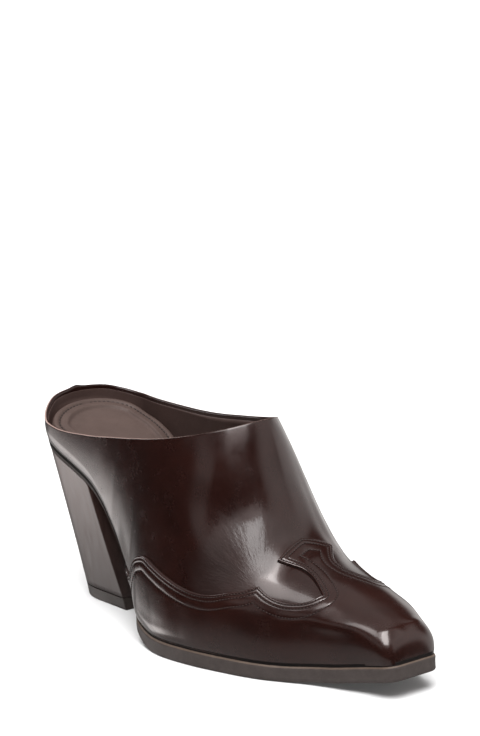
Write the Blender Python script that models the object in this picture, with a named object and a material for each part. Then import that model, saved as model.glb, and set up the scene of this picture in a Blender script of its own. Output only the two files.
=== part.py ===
"""Western mule pump, the right shoe of a pair, standing on its heel and forepart.

X runs from the back of the heel to the toe, -Y is the outer side and +Z is up.
Each piece is a closed solid of its own, with a gap of CLEARANCE to its neighbours.
The tables hold shares: `along` is a share of UPPER_LENGTH, and each other column
is a share of the size that the comment above its table names.
"""
import math
from bisect import bisect_right
from collections import namedtuple

import bmesh
import bpy
import numpy as np
from mathutils import Vector
from mathutils.geometry import delaunay_2d_cdt

# Driving sizes, in metres
UPPER_LENGTH = 0.2435
BALL_WIDTH = 0.088
THROAT_HEIGHT = 0.1075
HEEL_HEIGHT = 0.0811
TOE_SPRING = 0.0085
WALL = 0.0018
TUCK = 0.0020
TUCK_RISE = 0.0075
TUCK_AT_TOE = 0.45
TUCK_FADE = 0.09
LINE_SHARE = 0.35
TOE_CORNER = 0.0045
TOE_SLOPE = 0.0100
TOE_FULLNESS = 2.6
HEEL_CURVE = 0.0205
HEEL_TUCK = 0.0050
SOLE_THICKNESS = 0.0075
SHANK_THICKNESS = 0.0026
SOLE_RIM = 0.0025
SOLE_BEVEL = 0.0008
SOLE_ROUND = 0.0014
RIM_START_ALONG = 0.36
RIM_FADE = 0.08
OVERLAY_THICKNESS = 0.0011
INSOLE_THICKNESS = 0.0055
PAD_THICKNESS = 0.0055
PAD_LENGTH = 0.082
PAD_MARGIN = 0.0011
PAD_NOSE = 0.050
PAD_FULLNESS = 2.2
INSOLE_MARGIN = 0.0013
PAD_ROUND = 0.0016
HEEL_TIP_THICKNESS = 0.006
HEEL_TIP_LENGTH = 0.0425
HEEL_TIP_WIDTH = 0.0375
HEEL_SLANT = 0.0190
HEEL_TOP_LENGTH = 0.0480
HEEL_INSET = 0.0004
HEEL_CORNER = 0.0022
HEEL_ROUND_SHARE = 0.5
HEEL_FULLNESS = 2.3
HEEL_HOLLOW = 0.12
CLEARANCE = 0.0003

# Widest line seen from above, from the centre line out, as shares of BALL_WIDTH
Plan = namedtuple("Plan", "along outer inner")
PLAN = [
    Plan(0.000, 0.322, 0.322),
    Plan(0.062, 0.341, 0.330),
    Plan(0.123, 0.350, 0.335),
    Plan(0.205, 0.350, 0.324),
    Plan(0.287, 0.358, 0.304),
    Plan(0.370, 0.409, 0.300),
    Plan(0.431, 0.489, 0.318),
    Plan(0.522, 0.534, 0.372),
    Plan(0.583, 0.515, 0.402),
    Plan(0.678, 0.449, 0.412),
    Plan(0.739, 0.390, 0.395),
    Plan(0.784, 0.322, 0.372),
    Plan(0.830, 0.253, 0.340),
    Plan(0.879, 0.202, 0.302),
    Plan(0.940, 0.145, 0.242),
    Plan(1.000, 0.105, 0.190),
]

# Underside of the sole: arch is a share of HEEL_HEIGHT, spring of TOE_SPRING,
# body is the share of the way from SHANK_THICKNESS to SOLE_THICKNESS, and bed is a
# share of INSOLE_THICKNESS
Bottom = namedtuple("Bottom", "along arch spring body bed")
BOTTOM = [
    Bottom(0.000, 1.000, 0.00, 0.00, 0.45),
    Bottom(0.037, 0.957, 0.00, 0.00, 0.55),
    Bottom(0.090, 0.883, 0.00, 0.00, 0.75),
    Bottom(0.148, 0.822, 0.00, 0.00, 1.00),
    Bottom(0.205, 0.750, 0.00, 0.00, 1.15),
    Bottom(0.250, 0.642, 0.00, 0.00, 1.15),
    Bottom(0.282, 0.528, 0.00, 0.00, 1.10),
    Bottom(0.316, 0.398, 0.00, 0.00, 1.05),
    Bottom(0.350, 0.279, 0.00, 0.05, 1.00),
    Bottom(0.390, 0.152, 0.00, 0.20, 0.90),
    Bottom(0.425, 0.058, 0.00, 0.62, 0.75),
    Bottom(0.455, 0.016, 0.00, 0.92, 0.58),
    Bottom(0.490, 0.000, 0.00, 1.00, 0.46),
    Bottom(0.770, 0.000, 0.00, 1.00, 0.40),
    Bottom(0.865, 0.000, 0.26, 1.00, 0.40),
    Bottom(0.945, 0.000, 0.68, 1.00, 0.40),
    Bottom(1.000, 0.000, 1.00, 1.00, 0.40),
]

# Ridge of the upper: height is a share of THROAT_HEIGHT, behind the throat only a
# guide for the walls, lean a share of BALL_WIDTH, and fullness a section's exponent
Ridge = namedtuple("Ridge", "along height lean fullness")
RIDGE = [
    Ridge(0.000, 1.500, 0.000, 2.00),
    Ridge(0.205, 1.510, 0.005, 2.00),
    Ridge(0.308, 1.480, 0.010, 1.95),
    Ridge(0.423, 1.395, 0.020, 1.80),
    Ridge(0.472, 1.320, 0.025, 1.70),
    Ridge(0.522, 1.228, 0.030, 1.62),
    Ridge(0.567, 1.130, 0.030, 1.60),
    Ridge(0.606, 1.000, 0.030, 1.60),
    Ridge(0.657, 0.750, 0.015, 1.70),
    Ridge(0.706, 0.540, -0.005, 2.00),
    Ridge(0.747, 0.455, -0.010, 2.25),
    Ridge(0.789, 0.415, -0.010, 2.45),
    Ridge(0.842, 0.382, 0.005, 2.60),
    Ridge(0.903, 0.340, 0.025, 2.70),
    Ridge(0.965, 0.287, 0.038, 2.70),
    Ridge(1.000, 0.260, 0.042, 2.70),
]
THROAT_ALONG = 0.606

# Edge of the collar, from the back seam to the throat, as shares of THROAT_HEIGHT
Collar = namedtuple("Collar", "along outer inner")
COLLAR = [
    Collar(0.000, 0.895, 0.895),
    Collar(0.012, 0.885, 0.888),
    Collar(0.033, 0.852, 0.868),
    Collar(0.066, 0.812, 0.848),
    Collar(0.123, 0.797, 0.840),
    Collar(0.205, 0.810, 0.848),
    Collar(0.308, 0.844, 0.869),
    Collar(0.411, 0.886, 0.901),
    Collar(0.513, 0.935, 0.940),
    Collar(0.575, 0.975, 0.975),
    Collar(0.606, 1.000, 1.000),
]

# One side of the wing-tip's edge, from the ridge over the spade, the neck, the scallop and the
# horn, and along the wing to the sole. Each row says whether its point is a corner.
Edge = namedtuple("Edge", "along turn corner")
WING_EDGE = [
    Edge(0.710, 1.000, True),
    Edge(0.721, 0.755, True),
    Edge(0.756, 0.845, False),
    Edge(0.782, 0.843, False),
    Edge(0.806, 0.790, False),
    Edge(0.831, 0.700, True),
    Edge(0.817, 0.600, False),
    Edge(0.793, 0.545, False),
    Edge(0.765, 0.528, False),
    Edge(0.723, 0.545, True),
    Edge(0.701, 0.456, False),
    Edge(0.667, 0.360, False),
    Edge(0.638, 0.305, False),
    Edge(0.608, 0.278, False),
    Edge(0.571, 0.268, False),
    Edge(0.525, 0.270, False),
    Edge(0.480, 0.274, False),
    Edge(0.440, 0.268, False),
    Edge(0.400, 0.225, False),
    Edge(0.360, 0.120, False),
    Edge(0.333, 0.000, True),
]
EDGE_STEPS = 2
CHART_WIDTH = 0.06
NORMAL_STEP = 0.0002
NORMAL_SPREAD = 0.004

# Grid of the upper's surface: steps along X, a run of shorter ones at the throat,
# and rows up the wall, of which the tucked ones take the first TUCK_SHARE of a turn
HEEL_STEPS = 8
QUARTER_STEPS = 15
THROAT_STEPS = 5
VAMP_STEPS = 9
TOE_STEPS = 10
TIP_STEPS = 6
TUCK_ROWS = 2
WALL_ROWS = 10
TUCK_SHARE = 0.16
THROAT_RUN = 0.016
VAMP_END_ALONG = 0.72
COLLAR_HALVINGS = 40
SMOOTH_ANGLE = math.radians(38)

# Steps round the heel pad and the heel
PAD_END = 0.024
PAD_END_STEPS = 7
PAD_MIDDLE_STEPS = 5
HEEL_TURN_STEPS = 7
HEEL_SIDE_STEPS = 3
HEEL_CORNER_STEPS = 3
HEEL_LEVELS = 6

OUTER_SIDE = -1
INNER_SIDE = 1

# Colours and roughness
UPPER_COLOUR = (0.035, 0.013, 0.010)
HEEL_COLOUR = (0.040, 0.017, 0.014)
SOLE_COLOUR = (0.085, 0.060, 0.053)
TIP_COLOUR = (0.030, 0.021, 0.018)
LINING_COLOUR = (0.115, 0.078, 0.070)
GLOSSY = 0.22
SATIN = 0.30
MATTE = 0.60


# Curves through the tables

def slopes_of(xs, ys):
    """Slopes at a table's rows that let no value overshoot its neighbours."""
    steps = [(ys[i + 1] - ys[i]) / (xs[i + 1] - xs[i]) for i in range(len(xs) - 1)]
    slopes = [steps[0]]
    for before, after in zip(steps, steps[1:]):
        product = before * after
        slopes.append(2 * product / (before + after) if product > 0 else 0.0)
    slopes.append(steps[-1])
    return slopes


def curve(rows, column, along):
    """Value of one column on a smooth curve through the rows of a table."""
    xs = [row.along for row in rows]
    ys = [getattr(row, column) for row in rows]
    slopes = slopes_of(xs, ys)
    if along <= xs[0]:
        return ys[0] + slopes[0] * (along - xs[0])
    if along >= xs[-1]:
        return ys[-1] + slopes[-1] * (along - xs[-1])
    i = min(max(bisect_right(xs, along) - 1, 0), len(xs) - 2)
    width = xs[i + 1] - xs[i]
    t = (along - xs[i]) / width
    start = ys[i] * (1 + 2 * t) * (1 - t) ** 2 + slopes[i] * width * t * (1 - t) ** 2
    end = ys[i + 1] * (3 - 2 * t) * t ** 2 - slopes[i + 1] * width * t ** 2 * (1 - t)
    return start + end


def rounding(distance, radius, fullness=2.0):
    """Share of full size at a distance inside a rounded end of the given radius."""
    if distance >= radius:
        return 1.0
    reach = 1 - max(distance, 0.0) / radius
    return (1 - reach ** fullness) ** (1 / fullness)


def quarter_turns(steps):
    """Angles from zero to a right angle, in equal steps."""
    return [math.pi / 2 * i / steps for i in range(steps + 1)]


# Shape of the last

def sole_underside(x):
    """Height of the sole's underside."""
    along = x / UPPER_LENGTH
    return curve(BOTTOM, "arch", along) * HEEL_HEIGHT + curve(BOTTOM, "spring", along) * TOE_SPRING


def sole_depth(x):
    """Thickness of the sole."""
    body = curve(BOTTOM, "body", x / UPPER_LENGTH)
    return SHANK_THICKNESS + body * (SOLE_THICKNESS - SHANK_THICKNESS)


def bed_depth(x):
    """Thickness of the insole."""
    return INSOLE_THICKNESS * curve(BOTTOM, "bed", x / UPPER_LENGTH)


def feather_height(x):
    """Height of the upper's lower edge, just above the sole."""
    return sole_underside(x) + sole_depth(x) + CLEARANCE


def widest(x, side):
    """Distance of the upper's widest line from the centre line, on one side."""
    column = "outer" if side == OUTER_SIDE else "inner"
    full = curve(PLAN, column, x / UPPER_LENGTH) * BALL_WIDTH
    corner = TOE_CORNER * (1 - rounding(UPPER_LENGTH - x, TOE_CORNER))
    return full * rounding(x, HEEL_CURVE) - corner


def toe_front(x):
    """Share of the toe box's height that is left where the toe's front closes."""
    return rounding(UPPER_LENGTH - x, TOE_SLOPE, TOE_FULLNESS)


def tuck_at(x):
    """How far the lower edge is tucked in under the widest line."""
    forepart = TUCK_AT_TOE + (1 - TUCK_AT_TOE) * rounding(UPPER_LENGTH - x, TUCK_FADE)
    return TUCK * rounding(x, HEEL_CURVE) * forepart * toe_front(x)


def upper_point(x, side, turn):
    """Point of the upper's outer face.

    A turn of 0 to TUCK_SHARE climbs from the lower edge to the widest line, and
    from there to 1 the turn goes round the section to the ridge.
    """
    along = x / UPPER_LENGTH
    lean = curve(RIDGE, "lean", along) * BALL_WIDTH * rounding(x, 2 * HEEL_CURVE)
    low = feather_height(x)
    ridge = low + (curve(RIDGE, "height", along) * THROAT_HEIGHT - low) * toe_front(x)
    line = low + min(TUCK_RISE, LINE_SHARE * (ridge - low)) * toe_front(x)
    side_y = side * widest(x, side)
    if turn < TUCK_SHARE:
        t = turn / TUCK_SHARE
        inset = (1 - t) ** 2
        forward = x + HEEL_TUCK * (1 - rounding(x, HEEL_CURVE)) * inset
        low = feather_height(forward)
        return Vector((forward, side_y - side * tuck_at(x) * inset, low + (line - low) * t))
    angle = (turn - TUCK_SHARE) / (1 - TUCK_SHARE) * math.pi / 2
    power = curve(RIDGE, "fullness", along)
    across, up = math.cos(angle), math.sin(angle)
    reach = (across ** power + up ** power) ** (-1 / power)
    return Vector((x, lean + (side_y - lean) * across * reach, line + (ridge - line) * up * reach))


def collar_turn(x, side):
    """Turn at which the wall meets the edge of the collar."""
    if x >= THROAT_ALONG * UPPER_LENGTH:
        return 1.0
    column = "outer" if side == OUTER_SIDE else "inner"
    edge = curve(COLLAR, column, x / UPPER_LENGTH) * THROAT_HEIGHT
    low, high = TUCK_SHARE, 1.0
    for _ in range(COLLAR_HALVINGS):
        middle = (low + high) / 2
        if upper_point(x, side, middle).z < edge:
            low = middle
        else:
            high = middle
    return low


def back_stations():
    """Places along X from the back seam to the throat."""
    throat = THROAT_ALONG * UPPER_LENGTH
    near_throat = throat - THROAT_RUN
    curved = [HEEL_CURVE * (1 - math.cos(turn)) for turn in quarter_turns(HEEL_STEPS)[:-1]]
    straight = list(np.linspace(HEEL_CURVE, near_throat, QUARTER_STEPS + 1))
    closing = [throat - THROAT_RUN * (1 - i / THROAT_STEPS) ** 2 for i in range(1, THROAT_STEPS + 1)]
    return curved + straight + closing


def front_stations():
    """Places along X from the throat to the front of the toe."""
    throat = THROAT_ALONG * UPPER_LENGTH
    foot_of_ridge = VAMP_END_ALONG * UPPER_LENGTH
    tip = UPPER_LENGTH - TOE_SLOPE
    ridge = list(np.linspace(throat, foot_of_ridge, VAMP_STEPS + 1))
    box = list(np.linspace(foot_of_ridge, tip, TOE_STEPS + 1))[1:]
    end = [tip + TOE_SLOPE * math.sin(turn) for turn in quarter_turns(TIP_STEPS)[1:-1]]
    return ridge + box + end + [UPPER_LENGTH]


def turns_at(x, side):
    """Turns of a wall's rows, from the lower edge to the collar or the ridge.

    At the toe's front end the tucked rows close into one.
    """
    tuck = [TUCK_SHARE * i / TUCK_ROWS for i in range(TUCK_ROWS)]
    if x >= UPPER_LENGTH:
        tuck = [TUCK_SHARE] * TUCK_ROWS
    return tuck + list(np.linspace(TUCK_SHARE, collar_turn(x, side), WALL_ROWS + 1))


# Mesh tools

def new_object(name, mesh_builder, material):
    """Object of the given name from a closed bmesh, shaded smooth."""
    mesh = bpy.data.meshes.new(name)
    mesh_builder.normal_update()
    mesh_builder.to_mesh(mesh)
    mesh_builder.free()
    mesh.materials.append(material)
    mesh.shade_smooth()
    mesh.set_sharp_from_angle(angle=SMOOTH_ANGLE)
    piece = bpy.data.objects.new(name, mesh)
    bpy.context.scene.collection.objects.link(piece)
    return piece


def strip(builder, first, second, closed=False):
    """Triangles between two rows of as many vertices."""
    count = len(first)
    for i in range(count if closed else count - 1):
        j = (i + 1) % count
        for corners in ((first[i], first[j], second[j]), (first[i], second[j], second[i])):
            if len(set(corners)) == 3:
                builder.faces.new(corners)


def grid(builder, rows):
    """Faces between each row of vertices and the next."""
    for first, second in zip(rows, rows[1:]):
        strip(builder, first, second)


def close_outward(builder):
    """Point every face of a closed mesh outward."""
    bmesh.ops.recalc_face_normals(builder, faces=builder.faces)
    if builder.calc_volume(signed=True) < 0:
        bmesh.ops.reverse_faces(builder, faces=builder.faces)


# The upper

def wall_column(builder, x, side):
    """Vertices up one wall at one place along X, one for each different turn."""
    turns = turns_at(x, side)
    made = {turn: builder.verts.new(upper_point(x, side, turn)) for turn in sorted(set(turns))}
    return [made[turn] for turn in turns]


def upper_rows(builder):
    """Vertices of the upper's outer face: a row of columns for each part of it.

    Both walls start at the shared back seam. At the throat they meet in the ridge,
    and from there each column runs from the outer side's lower edge over the ridge
    to the inner side's.
    """
    walls = {OUTER_SIDE: [], INNER_SIDE: []}
    for number, x in enumerate(back_stations()):
        for side in (OUTER_SIDE, INNER_SIDE):
            if number == 0 and side == INNER_SIDE:
                walls[side].append(walls[OUTER_SIDE][0])
                continue
            walls[side].append(wall_column(builder, x, side))
    ridge_end = walls[OUTER_SIDE][-1][-1]
    builder.verts.remove(walls[INNER_SIDE][-1][-1])
    walls[INNER_SIDE][-1][-1] = ridge_end
    front = [walls[OUTER_SIDE][-1] + walls[INNER_SIDE][-1][-2::-1]]
    for x in front_stations()[1:]:
        outer = wall_column(builder, x, OUTER_SIDE)
        inner = wall_column(builder, x, INNER_SIDE)
        builder.verts.remove(inner[-1])
        front.append(outer + inner[-2::-1])
    return walls, front


def edge_loops(walls, front):
    """The outer face's two open edges: round the sole and round the collar."""
    outer_low = [column[0] for column in walls[OUTER_SIDE][:-1]] + [column[0] for column in front[:-1]]
    inner_low = [column[0] for column in walls[INNER_SIDE][1:-1]] + [column[-1] for column in front[:-1]]
    sole_edge = outer_low + front[-1] + inner_low[::-1]
    outer_top = [column[-1] for column in walls[OUTER_SIDE]]
    inner_top = [column[-1] for column in walls[INNER_SIDE][1:-1]]
    return sole_edge, outer_top + inner_top[::-1]


def build_upper(material):
    """Hollow upper with a wall of WALL, open at the collar and over the sole."""
    builder = bmesh.new()
    walls, front = upper_rows(builder)
    for side in walls:
        grid(builder, walls[side])
    grid(builder, front)
    bmesh.ops.recalc_face_normals(builder, faces=builder.faces)
    middle = front[len(front) // 2][len(front[0]) // 2]
    builder.normal_update()
    if middle.normal.z < 0:
        bmesh.ops.reverse_faces(builder, faces=builder.faces)
        builder.normal_update()
    sole_edge, collar_edge = edge_loops(walls, front)
    on_sole = set(sole_edge)
    twins = {}
    for vertex in list(builder.verts):
        inward = vertex.normal.copy()
        if vertex in on_sole:
            inward.z = 0
            inward.normalize()
        twins[vertex] = builder.verts.new(vertex.co - inward * WALL)
    for face in list(builder.faces):
        builder.faces.new([twins[vertex] for vertex in reversed(face.verts)])
    for loop in (sole_edge, collar_edge):
        strip(builder, loop, [twins[vertex] for vertex in loop], closed=True)
    close_outward(builder)
    return new_object("upper", builder, material)


# The wing-tip overlay

def surface_normal(x, side, turn):
    """Outward direction of the upper's outer face, level at its lower edge."""
    front = min(x + NORMAL_STEP, UPPER_LENGTH)
    ahead = upper_point(front, side, turn)
    behind = upper_point(front - 2 * NORMAL_STEP, side, turn)
    above = upper_point(x, side, min(turn + NORMAL_SPREAD, 1.0))
    below = upper_point(x, side, max(turn - NORMAL_SPREAD, 0.0))
    normal = (ahead - behind).cross(above - below) * -side
    if turn == 0.0:
        normal.z = 0.0
    return normal.normalized()


def lifted(place, height):
    """Point at a height over the upper's face, for a place on the flat chart."""
    x, across = place
    side = INNER_SIDE if across > 0 else OUTER_SIDE
    turn = round(min(max(1 - abs(across) / CHART_WIDTH, 0.0), 1.0), 6)
    normal = surface_normal(x, side, turn)
    if turn == 1.0:
        normal = (normal + surface_normal(x, -side, turn)).normalized()
    return upper_point(x, side, turn) + normal * height


def edge_places(side):
    """Chart places along one side of the overlay's edge, from the ridge to the sole."""
    rows = WING_EDGE
    places = []
    for i in range(len(rows) - 1):
        before = rows[i - 1] if i and not rows[i].corner else rows[i]
        after = rows[i + 2] if not rows[i + 1].corner else rows[i + 1]
        for step in range(EDGE_STEPS):
            t = step / EDGE_STEPS
            values = []
            for column in ("along", "turn"):
                p0, p1 = getattr(before, column), getattr(rows[i], column)
                p2, p3 = getattr(rows[i + 1], column), getattr(after, column)
                smooth = 2 * p1 + (p2 - p0) * t
                smooth += (2 * p0 - 5 * p1 + 4 * p2 - p3) * t ** 2 + (3 * p1 - p0 - 3 * p2 + p3) * t ** 3
                values.append(smooth / 2)
            places.append(chart_place(values[0] * UPPER_LENGTH, side, values[1]))
    places.append(chart_place(rows[-1].along * UPPER_LENGTH, side, rows[-1].turn))
    return places


def chart_place(x, side, turn):
    """Place on a flat chart of the upper, with the ridge along its middle."""
    return Vector((x, side * (1 - turn) * CHART_WIDTH))


def chart_grid():
    """The upper's own grid from the wing's back end to the toe, laid on the chart."""
    back = [x for x in back_stations() if x > 0.3 * UPPER_LENGTH][:-1]
    columns = []
    for x in back + front_stations():
        outer = [chart_place(x, OUTER_SIDE, turn) for turn in turns_at(x, OUTER_SIDE)]
        inner = [chart_place(x, INNER_SIDE, turn) for turn in turns_at(x, INNER_SIDE)]
        columns.append((outer, inner[::-1]))
    places = []
    edges = []
    number = {}
    for column in columns:
        for half in column:
            for place in half:
                key = (place.x, place.y)
                if key not in number:
                    number[key] = len(places)
                    places.append(place)
    for before, after in zip(columns, columns[1:]):
        for half in (0, 1):
            rows = [[number[(p.x, p.y)] for p in column[half]] for column in (before, after)]
            first, second = (rows[0], rows[1]) if half == 0 else (rows[0][::-1], rows[1][::-1])
            edges += zip(first, second)
            edges += zip(second, second[1:])
            diagonal_ends = second[1:]
            if half == 1 and before[0][-1].y == 0:
                first, diagonal_ends = first[1:], second[:-1]
            edges += zip(first, diagonal_ends)
    return places, [edge for edge in edges if edge[0] != edge[1]]


def build_toe_overlay(material):
    """Wing-tip laid on the upper: a shell between two faces lifted off the upper's own."""
    places, edges = chart_grid()
    outer_edge = edge_places(OUTER_SIDE)
    inner_edge = edge_places(INNER_SIDE)
    last_low = front_stations()[-2]
    toe = [chart_place(last_low, OUTER_SIDE, 0.0)]
    toe += [chart_place(UPPER_LENGTH, side, TUCK_SHARE) for side in (OUTER_SIDE, INNER_SIDE)]
    toe.append(chart_place(last_low, INNER_SIDE, 0.0))
    outline = toe + inner_edge[:0:-1] + outer_edge
    start = len(places)
    loop = list(range(start, start + len(outline)))
    flat = delaunay_2d_cdt(places + outline, edges, [loop], 0, 1e-6, True)
    flat_places, _, triangles, _, _, owners = flat
    kept = [triangle for triangle, owner in zip(triangles, owners) if owner]
    builder = bmesh.new()
    used = sorted({corner for triangle in kept for corner in triangle})
    low = {i: builder.verts.new(lifted(flat_places[i], CLEARANCE)) for i in used}
    high = {i: builder.verts.new(lifted(flat_places[i], CLEARANCE + OVERLAY_THICKNESS)) for i in used}
    sides = {}
    for a, b, c in kept:
        builder.faces.new((high[a], high[b], high[c]))
        builder.faces.new((low[c], low[b], low[a]))
        for start, end in ((a, b), (b, c), (c, a)):
            sides[(start, end)] = sides.get((start, end), 0) + 1
    for start, end in sides:
        if (end, start) not in sides:
            builder.faces.new((high[end], high[start], low[start]))
            builder.faces.new((high[end], low[start], low[end]))
    close_outward(builder)
    return new_object("toe_overlay", builder, material)


# Layers under the foot, each lofted round its outline

def plan_outline(stations, offset, height=lambda x: 0.0):
    """Both sides of the upper's outline seen from above, moved out by an offset.

    It is taken at a height over the upper's lower edge. The offset and the height
    are functions of X, and both sides start at the back.
    """
    sides = {}
    for side in (OUTER_SIDE, INNER_SIDE):
        turns = [TUCK_SHARE * min(height(x) / TUCK_RISE, 1.0) for x in stations]
        line = [upper_point(x, side, turn).to_2d() for x, turn in zip(stations, turns)]
        moved = []
        for i, point in enumerate(line):
            before = line[i - 1] if i else Vector((line[1].x, -line[1].y))
            after = line[i + 1] if i + 1 < len(line) else Vector((point.x, point.y - side * 0.01))
            ahead = (after - before).normalized()
            outward = Vector((ahead.y, -ahead.x)) * (1 if side == OUTER_SIDE else -1)
            moved.append(point + outward * offset(point.x))
        sides[side] = moved
    return sides


def pad_stations():
    """Places along X for the heel pad, close together at its round ends."""
    front = PAD_LENGTH - PAD_END
    back = [HEEL_CURVE * (1 - math.cos(turn)) for turn in quarter_turns(PAD_END_STEPS)[:-1]]
    middle = list(np.linspace(HEEL_CURVE, front, PAD_MIDDLE_STEPS + 1))
    end = [front + PAD_END * math.sin(turn) for turn in quarter_turns(PAD_END_STEPS)[1:]]
    return back + middle + end


def layer(name, levels, material):
    """Closed solid from rings of outline points, from the bottom ring to the top."""
    builder = bmesh.new()
    rings = []
    for sides in levels:
        outer = [builder.verts.new(point) for point in sides[OUTER_SIDE]]
        inner = [outer[0]] + [builder.verts.new(point) for point in sides[INNER_SIDE][1:]]
        rings.append((outer, inner))
    for (outer, inner), (outer_up, inner_up) in zip(rings, rings[1:]):
        strip(builder, outer, outer_up)
        strip(builder, inner, inner_up)
        strip(builder, [outer[-1], inner[-1]], [outer_up[-1], inner_up[-1]])
    for outer, inner in (rings[0], rings[-1]):
        strip(builder, outer, inner)
    close_outward(builder)
    return new_object(name, builder, material)


def raised(sides, height):
    """Outline lifted to a height that is a function of X."""
    return {side: [Vector((p.x, p.y, height(p.x))) for p in line] for side, line in sides.items()}


def rim_at(x):
    """How far the sole stands out past the upper, which fades out at the shank."""
    fade = min(max((x / UPPER_LENGTH - RIM_START_ALONG) / RIM_FADE, 0.0), 1.0)
    return SOLE_RIM * fade * fade * (3 - 2 * fade)


def build_outsole(material):
    """Sole in one piece: thick under the forefoot, thin at the shank and the seat."""
    stations = back_stations() + front_stations()[1:]

    def ring(inset, height):
        return raised(plan_outline(stations, lambda x: rim_at(x) - inset), height)

    def top(x):
        return sole_underside(x) + sole_depth(x)

    levels = [
        ring(SOLE_BEVEL, sole_underside),
        ring(0.0, lambda x: sole_underside(x) + SOLE_BEVEL),
        ring(0.0, lambda x: top(x) - SOLE_ROUND * sole_depth(x) / SOLE_THICKNESS),
        ring(0.3 * SOLE_ROUND, lambda x: top(x) - 0.3 * SOLE_ROUND * sole_depth(x) / SOLE_THICKNESS),
        ring(SOLE_ROUND, top),
    ]
    return layer("outsole", levels, material)


def build_insole(material):
    """Insole on the sole, inside the upper's wall, thickest at the waist."""
    stations = back_stations() + front_stations()[1:]
    levels = []
    for share in (0.0, 0.35, 1.0):
        sides = plan_outline(
            stations,
            lambda x: -WALL - CLEARANCE - INSOLE_MARGIN,
            lambda x, share=share: share * bed_depth(x),
        )
        levels.append(raised(sides, lambda x, share=share: feather_height(x) + share * bed_depth(x)))
    return layer("insole", levels, material)


def build_heel_pad(material):
    """Padded sock over the seat, with a round front end."""
    stations = pad_stations()

    def seat(x):
        return bed_depth(x) + CLEARANCE

    def ring(share, edge):
        inset = WALL + CLEARANCE + PAD_MARGIN + edge
        rise = share * PAD_THICKNESS
        sides = plan_outline(stations, lambda x: -inset, lambda x: seat(x) + rise)
        for line in sides.values():
            for point in line:
                point.y *= rounding(PAD_LENGTH - point.x, PAD_NOSE, PAD_FULLNESS)
                point.x = min(point.x, PAD_LENGTH - edge)
        return raised(sides, lambda x: feather_height(x) + seat(x) + rise)

    levels = [ring(0.0, 0.0), ring(0.5, 0.0), ring(0.85, 0.35 * PAD_ROUND), ring(1.0, PAD_ROUND)]
    return layer("heel_pad", levels, material)


# The heel

def heel_shares():
    """Shares of the heel's length: its round back, then its sides to the breast's corner."""
    turned = [HEEL_ROUND_SHARE * (1 - math.cos(turn)) for turn in quarter_turns(HEEL_TURN_STEPS)]
    return turned + list(np.linspace(HEEL_ROUND_SHARE, 1.0, HEEL_SIDE_STEPS + 1))[1:]


def breast_corner(line, side):
    """Round the corner between a heel's side and its flat breast."""
    end = line[-1]
    arc = []
    for turn in quarter_turns(HEEL_CORNER_STEPS):
        forward = HEEL_CORNER * (1 - math.sin(turn))
        inward = HEEL_CORNER * (1 - math.cos(turn))
        arc.append(Vector((end.x - forward, end.y - side * inward)))
    return line[:-1] + arc


def heel_foot(side):
    """Outline of the heel on the floor."""
    line = []
    for share in heel_shares():
        half = HEEL_TIP_WIDTH / 2 * rounding(share, HEEL_ROUND_SHARE, HEEL_FULLNESS)
        line.append(Vector((HEEL_SLANT + share * HEEL_TIP_LENGTH, side * half)))
    return breast_corner(line, side)


def heel_head(side):
    """Outline of the heel under the seat, which follows the seat's own."""
    round_share = HEEL_CURVE / HEEL_TOP_LENGTH
    places = []
    for share in heel_shares():
        if share <= HEEL_ROUND_SHARE:
            places.append(share / HEEL_ROUND_SHARE * HEEL_CURVE)
        else:
            rest = (share - HEEL_ROUND_SHARE) / (1 - HEEL_ROUND_SHARE)
            places.append(HEEL_TOP_LENGTH * (round_share + (1 - round_share) * rest))
    line = plan_outline(places, lambda x: -HEEL_INSET)[side]
    line[-1].x = HEEL_TOP_LENGTH
    return breast_corner(line, side)


def heel_ring(climb, height):
    """Outline of the heel at a share of the way up, lifted to a height of X."""
    flare = climb + HEEL_HOLLOW * (climb ** 2 - climb)
    sides = {}
    for side in (OUTER_SIDE, INNER_SIDE):
        pairs = zip(heel_foot(side), heel_head(side))
        sides[side] = [foot + (head - foot) * Vector((climb, flare)) for foot, head in pairs]
    return raised(sides, height)


def build_heel(material):
    """Slanted block heel, from the top lift to the underside of the seat."""
    base = HEEL_TIP_THICKNESS + CLEARANCE
    start = base / HEEL_HEIGHT
    levels = []
    for step in range(HEEL_LEVELS + 1):
        share = step / HEEL_LEVELS

        def height(x, share=share):
            return base + (sole_underside(x) - CLEARANCE - base) * share

        levels.append(heel_ring(start + (1 - start) * share, height))
    return layer("heel", levels, material)


def build_heel_tip(material):
    """Rubber top lift that the heel stands on."""
    low = heel_ring(0.0, lambda x: 0.0)
    high = heel_ring(HEEL_TIP_THICKNESS / HEEL_HEIGHT, lambda x: HEEL_TIP_THICKNESS)
    return layer("heel_tip", [low, high], material)


# Materials

def plain_material(name, colour, roughness):
    """Principled material with the given colour and roughness."""
    material = bpy.data.materials.new(name)
    material.use_nodes = True
    shader = material.node_tree.nodes["Principled BSDF"]
    shader.inputs["Base Color"].default_value = (*colour, 1.0)
    shader.inputs["Roughness"].default_value = roughness
    shader.inputs["Metallic"].default_value = 0.0
    return material


def clear_scene():
    """Remove whatever the scene holds."""
    for piece in list(bpy.data.objects):
        bpy.data.objects.remove(piece, do_unlink=True)


def stand_on_origin(pieces):
    """Move the meshes so that the origin is at the centre of the part's foot print."""
    points = np.array([vertex.co for piece in pieces for vertex in piece.data.vertices])
    low, high = points.min(axis=0), points.max(axis=0)
    shift = Vector((-(low[0] + high[0]) / 2, -(low[1] + high[1]) / 2, -low[2]))
    for piece in pieces:
        for vertex in piece.data.vertices:
            vertex.co += shift


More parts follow.
